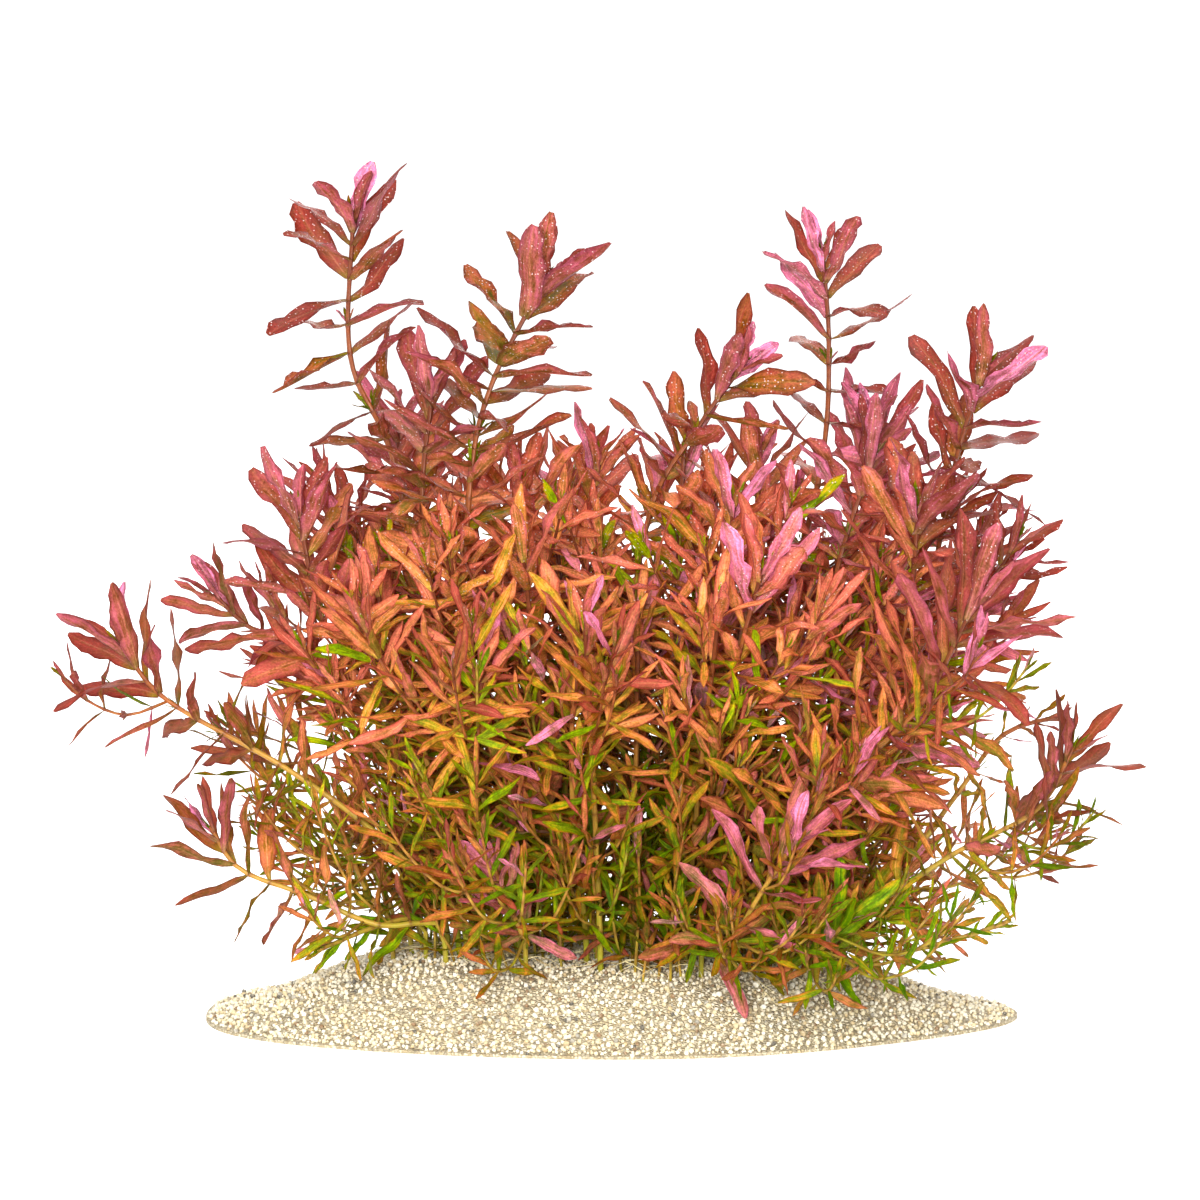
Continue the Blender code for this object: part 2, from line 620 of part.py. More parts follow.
def bed_ring(share: float) -> list:
    """Points round the mound at this share of its radius, on its surface."""
    points = []
    for k in range(BED_SEGMENTS):
        angle = 2 * math.pi * k / BED_SEGMENTS
        x = BED_LENGTH / 2 * share * bed_rim(angle) * math.cos(angle)
        y = BED_DEPTH / 2 * share * bed_rim(angle) * math.sin(angle)
        points.append(Vector((x, y, bed_surface(x * 0.9999, y * 0.9999))))
    return points


def build_bed(cutter: bpy.types.Object) -> bpy.types.Object:
    """The gravel mound, flat underneath, with the planting holes."""
    bm = bmesh.new()
    rim = bed_ring(1.0)
    end = first_face(bm, [Vector((p.x, p.y, 0)) for p in rim])
    for share in BED_RINGS:
        end = extrude(bm, end, bed_ring(share))
    bmesh.ops.poke(bm, faces=[end])["verts"][0].co = (0, 0, bed_surface(0, 0))
    bmesh.ops.holes_fill(bm, edges=bm.edges, sides=BED_SEGMENTS)
    bed = finished_object("gravel_bed", bm, "gravel")
    holes = bed.modifiers.new("planting holes", "BOOLEAN")
    holes.operation = "DIFFERENCE"
    holes.solver = "EXACT"
    holes.object = cutter
    return bed


def clear_scene():
    """Removes every object."""
    for old in list(bpy.data.objects):
        bpy.data.objects.remove(old, do_unlink=True)


def main():
    """Builds the clump."""
    clear_scene()
    clump = Clump()
    clump.place_stems()
    clump.place_leaves()
    for own in clump.shoots:
        build_shoot(own)
    build_bed(hole_cutter(clump.shoots))


main()
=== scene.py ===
"""A clump of rotala: bushy red and green aquarium stems with opposite wavy leaves, in pale gravel.

The layout of stems and leaves is worked out in millimetres, as the solids' source does it, and turned to
metres when a mesh is made. Every detailed shoot takes the place of its own solid and keeps its leaves
where the solid has them, with all the younger, lower and side-shoot leaves that the solid leaves out.
"""

import logging
from dataclasses import dataclass, field, replace
from enum import Enum
from itertools import accumulate, product
from math import atan2, cos, exp, hypot, pi, radians, sin, sqrt
from random import Random
from typing import Callable, Iterable, Optional, Sequence, Union

import bmesh
import bpy
import numpy as np
from bmesh.types import BMesh, BMFace
from bpy.types import Material, Object
from mathutils import Matrix, Vector
from mathutils.bvhtree import BVHTree


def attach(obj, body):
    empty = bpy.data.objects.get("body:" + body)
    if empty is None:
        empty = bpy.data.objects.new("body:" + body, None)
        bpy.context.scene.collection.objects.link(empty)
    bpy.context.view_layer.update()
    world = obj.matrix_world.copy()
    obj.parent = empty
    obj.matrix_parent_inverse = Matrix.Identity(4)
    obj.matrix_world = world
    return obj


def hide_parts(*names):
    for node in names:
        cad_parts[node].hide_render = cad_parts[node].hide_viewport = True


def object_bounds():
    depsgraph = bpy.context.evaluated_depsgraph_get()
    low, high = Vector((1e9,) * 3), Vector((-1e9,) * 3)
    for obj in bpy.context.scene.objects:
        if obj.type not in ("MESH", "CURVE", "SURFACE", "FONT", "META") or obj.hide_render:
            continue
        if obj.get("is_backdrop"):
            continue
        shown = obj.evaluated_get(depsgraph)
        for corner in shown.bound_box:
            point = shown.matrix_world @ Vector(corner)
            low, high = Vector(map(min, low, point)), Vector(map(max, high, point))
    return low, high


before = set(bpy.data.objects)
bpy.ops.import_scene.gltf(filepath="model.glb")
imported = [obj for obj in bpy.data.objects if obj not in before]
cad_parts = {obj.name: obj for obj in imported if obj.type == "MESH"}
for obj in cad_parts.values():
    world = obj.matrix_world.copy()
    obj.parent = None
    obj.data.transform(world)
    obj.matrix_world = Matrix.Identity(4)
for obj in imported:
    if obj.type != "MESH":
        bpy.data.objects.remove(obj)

logging.basicConfig(level=logging.INFO, format="%(message)s")
log = logging.getLogger("rotala")

MM = 0.001
GOLDEN_ANGLE = radians(137.508)
UV_MAP = "UVMap"
TINT = "tint"  # redness, tone (for leaves with painted fill light in the clump's shade), pinkness and specks of leaves and stems
GRAIN_COLOUR = "grain_colour"

Colour = tuple[float, float, float]
Array = np.ndarray


def srgb(red: int, green: int, blue: int) -> Colour:
    """The linear colour of a display colour with values from 0 to 255."""
    shares = (red / 255, green / 255, blue / 255)
    return tuple(c / 12.92 if c <= 0.04045 else ((c + 0.055) / 1.055) ** 2.4 for c in shares)


def between(value: float, start: float, end: float) -> float:
    """A share that goes from 0 at the start to 1 at the end, eased at both."""
    share = min(1.0, max(0.0, (value - start) / (end - start)))
    return share * share * (3 - 2 * share)


def either_way(most: float, chance: Union[Random, np.random.Generator]) -> float:
    """A draw of up to this much to either side."""
    return chance.uniform(-most, most)


def direction(angle: float) -> Vector:
    """The level direction at this angle from +X."""
    return Vector((cos(angle), sin(angle)))


def new_object(name: str, data: bpy.types.ID) -> Object:
    """Puts a new object into the scene, at the origin."""
    made = bpy.data.objects.new(name, data)
    bpy.context.scene.collection.objects.link(made)
    return made


def object_of(name: str, bm: BMesh, material: Material) -> Object:
    """Makes an object of a bmesh, which it frees, and a material."""
    mesh = bpy.data.meshes.new(name)
    bm.to_mesh(mesh)
    bm.free()
    mesh.materials.append(material)
    return new_object(name, mesh)


class Slot(Enum):
    """The record's material slots."""

    COPPER = "copper_foliage"
    ROSE = "rose_foliage"
    OLIVE = "olive_foliage"
    GREEN = "green_foliage"
    GRAVEL = "gravel"
    ROOTS = "hair_roots"

    def given_to(self, piece: Object, stood_for: Optional[str] = None) -> Object:
        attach(piece, "root")
        if stood_for:
            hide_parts(stood_for)
        return piece


# Shading


class Wire:
    """A socket of a material, which takes part in Python expressions on values."""

    def __init__(self, shade: "Shade", socket: bpy.types.NodeSocket):
        """Keeps the socket and the material that it is in."""
        self.shade = shade
        self.socket = socket

    def maths(self, operation: str, *terms: "Term", clamp: bool = False) -> "Wire":
        """Adds a Math node on these terms."""
        settings = {"operation": operation, "use_clamp": clamp}
        return self.shade.node("Math", settings, dict(enumerate(terms)))

    def sibling(self, out: Union[int, str]) -> "Wire":
        """Another output of the same node."""
        return Wire(self.shade, self.socket.node.outputs[out])

    def __add__(self, other: "Term") -> "Wire":
        """This plus other."""
        return self.maths("ADD", self, other)

    def __sub__(self, other: "Term") -> "Wire":
        """This minus other."""
        return self.maths("SUBTRACT", self, other)

    def __rsub__(self, other: float) -> "Wire":
        """Other minus this."""
        return self.maths("SUBTRACT", other, self)

    def __mul__(self, other: "Term") -> "Wire":
        """This times other."""
        return self.maths("MULTIPLY", self, other)

    def clamped(self) -> "Wire":
        """This, kept between 0 and 1."""
        return self.maths("ADD", self, 0.0, clamp=True)

    def size(self) -> "Wire":
        """This without its sign."""
        return self.maths("ABSOLUTE", self)

    def sine(self) -> "Wire":
        """The sine of this."""
        return self.maths("SINE", self)

    def between(self, low: float, high: float) -> "Wire":
        """How far this has come from low to high, eased and kept between 0 and 1."""
        inputs = {"Value": self, "From Min": low, "From Max": high, "To Min": 0.0, "To Max": 1.0}
        return self.shade.node("MapRange", {"interpolation_type": "SMOOTHSTEP"}, inputs)


Term = Union[Wire, float]


class Shade:
    """A material under construction."""

    def __init__(self, name: str):
        """Starts an empty material."""
        self.material = bpy.data.materials.new(name)
        self.material.use_nodes = True
        self.tree = self.material.node_tree
        self.tree.nodes.clear()

    def node(self, kind: str, settings: Optional[dict] = None, inputs: Optional[dict] = None,
             out: Union[int, str] = 0) -> Wire:
        """Adds a node.

        Args:
            kind: the node's type, without its ShaderNode prefix.
            settings: its properties, and stops for a ramp's positions and colours.
            inputs: the value or wire of each input, by its name or its place.
            out: the output to return.

        Returns:
            The wire from that output.
        """
        made = self.tree.nodes.new("ShaderNode" + kind)
        for key, value in (settings or {}).items():
            if key == "stops":
                self.set_stops(made.color_ramp, value)
            else:
                setattr(made, key, value)
        for key, value in (inputs or {}).items():
            if isinstance(value, Wire):
                self.tree.links.new(value.socket, made.inputs[key])
            elif isinstance(value, tuple) and made.inputs[key].type == "RGBA":
                made.inputs[key].default_value = (*value, 1.0)
            else:
                made.inputs[key].default_value = value
        return Wire(self, made.outputs[out])

    @staticmethod
    def set_stops(ramp: bpy.types.ColorRamp, stops: Sequence[tuple[float, Colour]]) -> None:
        """Gives a colour ramp these positions and colours."""
        while len(ramp.elements) < len(stops):
            ramp.elements.new(1.0)
        for element, (position, colour) in zip(ramp.elements, stops):
            element.position = position
            element.color = (*colour, 1.0)

    def ramp(self, value: Wire, stops: Sequence[tuple[float, Colour]]) -> Wire:
        """The colour that a value has on a ramp."""
        return self.node("ValToRGB", {"stops": stops}, {"Fac": value})

    def blend(self, share: Term, first: Union[Wire, Colour], second: Union[Wire, Colour]) -> Wire:
        """A colour this share of the way from the first to the second."""
        return self.node("Mix", {"data_type": "RGBA"}, {0: share, 6: first, 7: second}, out=2)

    def scaled(self, colour: Wire, gain: Wire) -> Wire:
        """A colour made this much brighter."""
        return self.node("VectorMath", {"operation": "SCALE"}, {0: colour, "Scale": gain})

    def attribute(self, name: str) -> tuple[Wire, Wire, Wire, Wire]:
        """The four channels of a colour attribute."""
        colour = self.node("Attribute", {"attribute_name": name}, out="Color")
        red = self.node("SeparateColor", inputs={"Color": colour})
        return red, red.sibling(1), red.sibling(2), colour.sibling("Alpha")

    def place(self) -> Wire:
        """Where a point is on the object."""
        return self.node("TexCoord", out="Object")

    def across_and_along(self) -> tuple[Wire, Wire]:
        """The two numbers of the UV map."""
        across = self.node("SeparateXYZ", inputs={"Vector": self.node("UVMap", {"uv_map": UV_MAP})})
        return across, across.sibling(1)

    def noise(self, scale: float, detail: float = 3.0) -> Wire:
        """Soft noise, from 0 to 1, with this many waves to the metre."""
        return self.node("TexNoise", inputs={"Vector": self.place(), "Scale": scale, "Detail": detail})

    def bump(self, height: Wire, distance: float, strength: float) -> Wire:
        """A normal that height has pushed in and out by this many metres."""
        return self.node("Bump", inputs={"Height": height, "Distance": distance, "Strength": strength})

    def skin(self, inputs: dict) -> Wire:
        """An opaque surface with these inputs."""
        return self.node("BsdfPrincipled", inputs=inputs)

    def finish(self, surface: Wire) -> Material:
        """Ends the material with this surface."""
        output = self.tree.nodes.new("ShaderNodeOutputMaterial")
        self.tree.links.new(surface.socket, output.inputs["Surface"])
        return self.material


@dataclass(frozen=True)
class LeafFinish:
    """A living leaf: green and olive low in the clump, copper red above, pink underneath."""

    name: str
    through: Colour  # of the light that comes through the blade
    green: Colour = srgb(80, 142, 0)
    lime: Colour = srgb(124, 154, 0)
    olive: Colour = srgb(156, 124, 0)
    orange: Colour = srgb(182, 108, 34)
    copper: Colour = srgb(190, 104, 66)
    wine: Colour = srgb(154, 60, 50)
    pink: Colour = srgb(228, 132, 172)
    pale_rib: Colour = srgb(224, 150, 112)
    green_rib: Colour = srgb(184, 178, 10)
    edge: Colour = srgb(100, 32, 14)
    foot: Colour = srgb(154, 168, 0)
    speck: Colour = srgb(250, 222, 214)
    roughness: float = 0.5
    see_through: float = 0.38
    # How bright the colour is made: the least gain, and how much more the tone gives, painted fill light on
    # shaded leaves included
    dimmest: float = 0.57
    tone_and_painted_fill_gain: float = 1.3
    veins: float = 13.0  # pairs of side veins to a leaf
    vein_slant: float = 0.22
    rib: tuple = (0.03, 0.13)  # share of the half width over which the midrib fades
    margin: tuple = (0.62, 0.96)  # and over which the dark margin comes in
    mottle_waves: float = 240.0  # to the metre
    grain_waves: float = 1500.0
    relief_waves: float = 1900.0
    relief_depth: float = 0.0002
    speck_waves: float = 950.0
    speck_size: tuple = (0.17, 0.27)
    streak_waves: tuple = (8.0, 2.4, 60.0)  # across the leaf, along it, and from leaf to leaf

    def material(self) -> Material:
        """The finish as a material that reads the blade's UV map and tint."""
        shade = Shade(self.name)
        redness, tone, pinkness, specks = shade.attribute(TINT)
        across, along = shade.across_and_along()
        off_rib = (across * 2.0 - 1.0).size()
        rib_line = 1.0 - off_rib.between(*self.rib)
        vein = ((along - off_rib * self.vein_slant) * (2 * pi * self.veins)).sine()
        vein_line = vein.between(0.5, 1.0)
        mottle = shade.noise(self.mottle_waves, 4.0)
        patches = (mottle - 0.5) * 1.9 + (self.streaks(shade, across, along, tone) - 0.5) * 2.8
        red = redness + patches * 0.55 + (along - 0.45) * 0.3 + (off_rib - 0.5) * 0.2
        stops = ((0.0, self.green), (0.2, self.lime), (0.4, self.olive), (0.6, self.orange))
        stops += ((0.82, self.copper), (1.0, self.wine))
        colour = shade.ramp(red.clamped(), stops)
        colour = shade.blend((1.0 - along.between(0.0, 0.2)) * 0.7, colour, self.foot)
        rib_colour = shade.blend(redness, self.green_rib, self.pale_rib)
        # Pale veins and streaks, and paler leaves where the tone, partly painted fill light, is high
        pale = vein_line * 0.12 + patches.between(0.3, 1.5) * 0.35 + tone * 0.2
        colour = shade.blend(pale, colour, rib_colour)
        colour = shade.blend(rib_line * (0.6 - along * 0.45), colour, rib_colour)
        margin = off_rib.between(*self.margin) * (redness * 0.4 + 0.42)
        colour = shade.blend(margin, colour, self.edge)
        # Painted fill light: the tone, high on leaves deep in the clump's shade, brightens the colour
        colour = shade.scaled(colour, tone * (redness * 0.3 + 0.79) * self.tone_and_painted_fill_gain + self.dimmest)
        pink = shade.blend(rib_line * 0.4, self.pink, self.pale_rib)
        colour = shade.blend((pinkness * (patches * 0.8 + 1.0)).clamped(), colour, pink)
        grain = patches * 0.75 + (shade.noise(self.grain_waves, 2.0) - 0.5) * 1.2 + 1.0
        colour = shade.scaled(colour, grain.between(0.3, 1.9) * 1.6 + 0.3)
        speck = self.speck_mask(shade, specks)
        colour = shade.blend(speck, colour, self.speck)
        relief = shade.noise(self.relief_waves, 2.0) * 0.35 + vein_line * 0.3 - rib_line * 0.6 + speck * 0.8
        skin = shade.skin({
            "Base Color": colour,
            "Roughness": (mottle * 0.24 + (self.roughness - 0.12) - speck * 0.2).clamped(),
            "Normal": shade.bump(relief, self.relief_depth, 0.8),
            "Specular IOR Level": 0.07,
            "Coat Weight": redness.between(0.45, 0.8) * 0.25, "Coat Roughness": 0.38,
        })
        glow = shade.node("BsdfTranslucent", inputs={"Color": self.through})
        return shade.finish(shade.node("MixShader", inputs={0: self.see_through, 1: skin, 2: glow}))

    def streaks(self, shade: Shade, across: Wire, along: Wire, tone: Wire) -> Wire:
        """Streaks that run along the blade, on every leaf in other places."""
        terms = (wire * waves for wire, waves in zip((across, along, tone), self.streak_waves))
        inputs = {"Vector": shade.node("CombineXYZ", inputs=dict(enumerate(terms)))}
        return shade.node("TexNoise", inputs={**inputs, "Scale": 1.0, "Detail": 4.0, "Roughness": 0.65})

    def speck_mask(self, shade: Shade, amount: Wire) -> Wire:
        """Tiny pale specks, as many as the amount says."""
        inputs = {"Vector": shade.place(), "Scale": self.speck_waves}
        cells = shade.node("TexVoronoi", inputs=inputs, out="Distance")
        lots = shade.node("SeparateColor", inputs={"Color": cells.sibling("Color")})
        dots = (1.0 - cells.between(*self.speck_size)) * lots.between(0.5, 0.52)
        return dots * (amount + shade.noise(150.0, 2.0) - 0.85).between(0.0, 0.3) * 0.9


@dataclass(frozen=True)
class StemFinish:
    """A stem: green at its foot, straw-coloured higher up and orange-red among the young leaves."""

    name: str
    green: Colour = srgb(122, 142, 10)
    straw: Colour = srgb(180, 142, 54)
    orange: Colour = srgb(158, 88, 38)
    red: Colour = srgb(112, 56, 32)
    joint: Colour = srgb(104, 48, 28)
    roughness: float = 0.38
    ridges: int = 9
    ridge_depth: float = 0.00012

    def material(self) -> Material:
        """The finish as a material that reads the stem's tint."""
        shade = Shade(self.name)
        redness, tone, joint, _ = shade.attribute(TINT)
        mottle = shade.noise(420.0, 3.0)
        around, _ = shade.across_and_along()
        red = (redness + (mottle - 0.5) * 0.4 + (tone - 0.5) * 0.2).clamped()
        stops = ((0.0, self.green), (0.3, self.straw), (0.58, self.orange), (0.85, self.red))
        ridges = (around * (2 * pi * self.ridges)).sine()
        relief = ridges * 0.5 + shade.noise(2200.0, 2.0) * 0.5
        return shade.finish(shade.skin({
            "Base Color": shade.blend(joint * 0.7, shade.ramp(red, stops), self.joint),
            "Roughness": mottle * 0.2 + (self.roughness - 0.1),
            "Normal": shade.bump(relief, self.ridge_depth, 0.6),
            "Specular IOR Level": 0.25,
        }))


@dataclass(frozen=True)
class GrainFinish:
    """Loose mineral grains, each with its own colour."""

    name: str = "gravel_grains"
    dust: Colour = srgb(228, 220, 198)
    roughness: float = 0.62
    grit_depth: float = 0.00012

    def material(self) -> Material:
        """The finish as a material that reads each grain's colour."""
        shade = Shade(self.name)
        colour = shade.node("Attribute", {"attribute_name": GRAIN_COLOUR}, out="Color")
        dust = shade.noise(1500.0, 4.0)
        return shade.finish(shade.skin({
            "Base Color": shade.blend(dust.between(0.45, 0.75) * 0.35, colour, self.dust),
            "Roughness": dust * 0.3 + (self.roughness - 0.15),
            "Normal": shade.bump(shade.noise(3800.0, 3.0), self.grit_depth, 0.7),
        }))


@dataclass(frozen=True)
class BedFinish:
    """The packed gravel under the loose grains: the same grains, too far down to model, with painted shade in
    the gaps.
    """

    name: str = "gravel_bed"
    grains: float = 800.0  # to the metre
    pale: Colour = srgb(214, 202, 172)
    tan: Colour = srgb(188, 168, 128)
    grey: Colour = srgb(150, 141, 124)
    # painted shade in the gaps between the grains
    deep_shade: Colour = srgb(160, 144, 108)
    grain_depth: float = 0.0007

    def material(self) -> Material:
        """The finish as a material."""
        shade = Shade(self.name)
        cells = {"Vector": shade.place(), "Scale": self.grains}
        tint = shade.node("TexVoronoi", inputs=cells, out="Color")
        edge = shade.node("TexVoronoi", {"feature": "DISTANCE_TO_EDGE"}, cells, out="Distance")
        pick = shade.node("SeparateColor", inputs={"Color": tint})
        stops = ((0.0, self.pale), (0.5, self.pale), (0.75, self.tan), (1.0, self.grey))
        # Painted shade: the grains' edges darken towards the gaps' colour
        gaps = (1.0 - edge.between(0.02, 0.16)) * 0.7
        relief = edge.between(0.0, 0.3) + shade.noise(2500.0, 3.0) * 0.3
        return shade.finish(shade.skin({
            "Base Color": shade.blend(gaps, shade.ramp(pick, stops), self.deep_shade),
            "Roughness": 0.75,
            "Normal": shade.bump(relief, self.grain_depth, 0.9),
        }))


@dataclass(frozen=True)
class RootFinish:
    """Pale hair roots."""

    name: str = "hair_roots"
    pale: Colour = srgb(226, 212, 160)
    brown: Colour = srgb(170, 140, 84)

    def material(self) -> Material:
        """The finish as a material."""
        shade = Shade(self.name)
        colour = shade.blend(shade.noise(300.0, 3.0).between(0.4, 0.65), self.pale, self.brown)
        return shade.finish(shade.skin({"Base Color": colour, "Roughness": 0.6}))


@dataclass(frozen=True)
class PaperFinish:
    """The studio's plain pale floor."""

    name: str = "studio_paper"
    colour: Colour = (0.93, 0.93, 0.925)
    glow: float = 0.35  # its own light, which keeps it white in the clump's shade

    def material(self) -> Material:
        """The finish as a material."""
        shade = Shade(self.name)
        return shade.finish(shade.skin({
            "Base Color": self.colour,
            "Roughness": shade.noise(900.0, 2.0) * 0.1 + 0.75,
            "Emission Color": (1.0, 1.0, 1.0), "Emission Strength": self.glow,
        }))


# Meshes


@dataclass(frozen=True)
class Template:
    """A small shape's points and faces, to be bent into place many times."""

    points: Array
    corners: Array  # the point of every face's every corner
    sizes: Array  # how many corners each face has
    starts: Array  # each face's first corner

    @classmethod
    def of(cls, bm: BMesh) -> "Template":
        """Reads and frees a bmesh."""
        bm.verts.index_update()
        points = np.array([vert.co[:] for vert in bm.verts])
        corners = np.array([vert.index for face in bm.faces for vert in face.verts])
        sizes = np.array([len(face.verts) for face in bm.faces])
        bm.free()
        return cls(points, corners, sizes, np.cumsum(sizes) - sizes)


def fill(items: bpy.types.bpy_prop_collection, key: str, values: Array, kind: type) -> None:
    """Gives all of these items their values of one property, as numbers of this kind."""
    items.foreach_set(key, values.astype(kind).ravel())


@dataclass
class MeshStock:
    """Many small shapes that become one mesh."""

    # Of each shape: points, corners, sizes, UV, tints, materials and margins
    shapes: list[tuple] = field(default_factory=list)
    count: int = 0

    def add(self, points: Array, template: Template, uv: Array, tint: Array, skin: int,
            margin: Optional[Array] = None) -> None:
        """Adds one shape.

        Args:
            points: the template's points in their places, in millimetres.
            template: the shape.
            uv: each corner's place on the UV map.
            tint: each corner's four channels, or one set for all.
            skin: the place of its material on the piece.
            margin: which of its points are on a sharp margin.
        """
        corners, sizes = template.corners, template.sizes
        tints, skins = np.broadcast_to(tint, (len(corners), 4)), np.full(len(sizes), skin)
        margins = np.zeros(len(points), bool) if margin is None else margin
        self.shapes.append((points, corners + self.count, sizes, uv, tints, skins, margins))
        self.count += len(points)

    def made(self, name: str, materials: Sequence[Material], layer: str = TINT,
             smooth: bool = True) -> Object:
        """Makes the mesh and its object.

        Args:
            name: of the object.
            materials: its finishes, in the order of the skins.
            layer: the name of the tint attribute.
            smooth: whether its faces are shaded as one.

        Returns:
            The new object, at the origin.
        """
        points, corners, sizes, uv, tints, skins, margins = map(np.concatenate, zip(*self.shapes))
        mesh = bpy.data.meshes.new(name)
        mesh.vertices.add(len(points))
        mesh.loops.add(len(corners))
        mesh.polygons.add(len(sizes))
        fill(mesh.vertices, "co", points * MM, np.float32)
        fill(mesh.loops, "vertex_index", corners, np.int32)
        fill(mesh.polygons, "loop_start", np.cumsum(sizes) - sizes, np.int32)
        fill(mesh.polygons, "material_index", skins, np.int32)
        fill(mesh.polygons, "use_smooth", np.full(len(sizes), smooth), bool)
        mesh.update(calc_edges=True)
        fill(mesh.uv_layers.new(name=UV_MAP).data, "uv", uv, np.float32)
        fill(mesh.color_attributes.new(layer, "FLOAT_COLOR", "CORNER").data, "color", tints, np.float32)
        if margins.any():
            ends = np.zeros(2 * len(mesh.edges), np.int32)
            mesh.edges.foreach_get("vertices", ends)
            sharp = mesh.attributes.new("sharp_edge", "BOOLEAN", "EDGE")
            fill(sharp.data, "value", margins[ends.reshape(-1, 2)].all(axis=1), bool)
        for material in materials:
            mesh.materials.append(material)
        mesh.validate()
        return new_object(name, mesh)


# Layout, in millimetres


@dataclass(frozen=True)
class Mound:
    """The gravel mound's size and surface."""

    length: float = 246.0
    depth: float = 158.0
    height: float = 20.0
    edge: float = 1.4  # height of the outermost grains
    slope: float = 0.55  # share of the radius that the flank takes
    ripple: float = 0.9

    def rim(self, angle: float) -> float:
        """How far the uneven rim runs at this angle, as a share of the ellipse."""
        return 1 + 0.016 * sin(3 * angle + 0.8) + 0.02 * sin(5 * angle + 2.0)

    def surface(self, x: float, y: float) -> float:
        """Height of the gravel at a point."""
        angle = atan2(y / self.depth, x / self.length)
        share = hypot(2 * x / self.length, 2 * y / self.depth) / self.rim(angle)
        if share > 1:
            return 0.0
        ripple = self.ripple * sin(x / 19 + 1.0) * cos(y / 16)
        return self.edge + (self.height - self.edge + ripple) * between(1 - share, 0, self.slope)

    def spot(self, share: float, angle: float) -> tuple[float, float]:
        """The point at this share of the radius."""
        reach = share * self.rim(angle)
        return self.length / 2 * reach * cos(angle), self.depth / 2 * reach * sin(angle)

    def buries(self, points: Iterable[Vector], clearance: float) -> bool:
        """Whether any of the points comes nearer to the gravel than this."""
        return any(p.z < self.surface(p.x, p.y) + clearance for p in points)


MOUND = Mound()


@dataclass(frozen=True)
class Habit:
    """How this plant grows: the measures that its stems and leaves share."""

    stem_radius: float = 0.98  # at the foot
    tip_radius: float = 0.6
    taper_length: float = 120.0
    planting_depth: float = 9.0
    upright_start: float = 12.0
    start_lean: float = 0.12
    ring_spacing: float = 36.0
    surface_ring: float = 2.0
    stem_clearance: float = 0.6
    foot_spacing: float = 7.0
    first_node: float = 2.3  # from the tip to the youngest leaf pair
    node_step: float = 2.8
    thin_node_step: float = 4.0  # of side shoots and sprigs
    thin_breadth: float = 0.75  # of their leaves
    thin_droop: float = 34.0  # how much further down their older leaves may point
    node_growth: float = 0.95
    longest_internode: float = 9.5
    node_band: float = 1.5
    node_jitter: float = radians(10)
    leaf_width: float = 0.225  # share of the leaf's length
    widest_at: float = 0.42
    keel: float = 0.6
    sound_depth: float = 0.18
    young_lengths: tuple = (0.5, 0.75, 0.95)
    old_shrink: float = 0.3
    length_spread: tuple = (0.86, 1.1)
    young_angles: tuple = (15.0, 25.0, 35.0, 46.0, 57.0, 66.0)
    old_angle: float = 74.0
    angle_spread: float = 12.0
    recurve: tuple = (-22.0, 34.0)
    young_recurve: tuple = (-4.0, 22.0)
    roll: tuple = (25.0, 88.0)
    stray_roll: float = 28.0
    quarter: float = radians(45)
    roll_shares: tuple = (1.0, 0.6, 0.3, 0.0)
    leaf_clearance: float = 0.3
    slim_foot: float = 0.08
    near: float = 3.0
    gravel_clearance: float = 1.5
    lifted: tuple = (radians(10), radians(112))  # least and greatest angle of a lifted leaf
    flattest: float = 12.0  # least angle of a leaf before it is lifted
    least_reach: float = 0.1  # how far out a leaf's tip has to be, as a share of its length


HABIT = Habit()


@dataclass(frozen=True)
class Shoot:
    """One stem: where it stands, the points that it passes up to its tip, and its leaves."""

    name: str
    root: tuple
    path: tuple
    leaf: float  # a full leaf's length
    nodes: tuple  # which of its leaf pairs the solid has
    turn: float  # of its first pair
    sway: float  # degrees that its leaves on the +X side hang lower, and those on the -X side higher
    slot: Slot = Slot.COPPER
    outer: bool = False


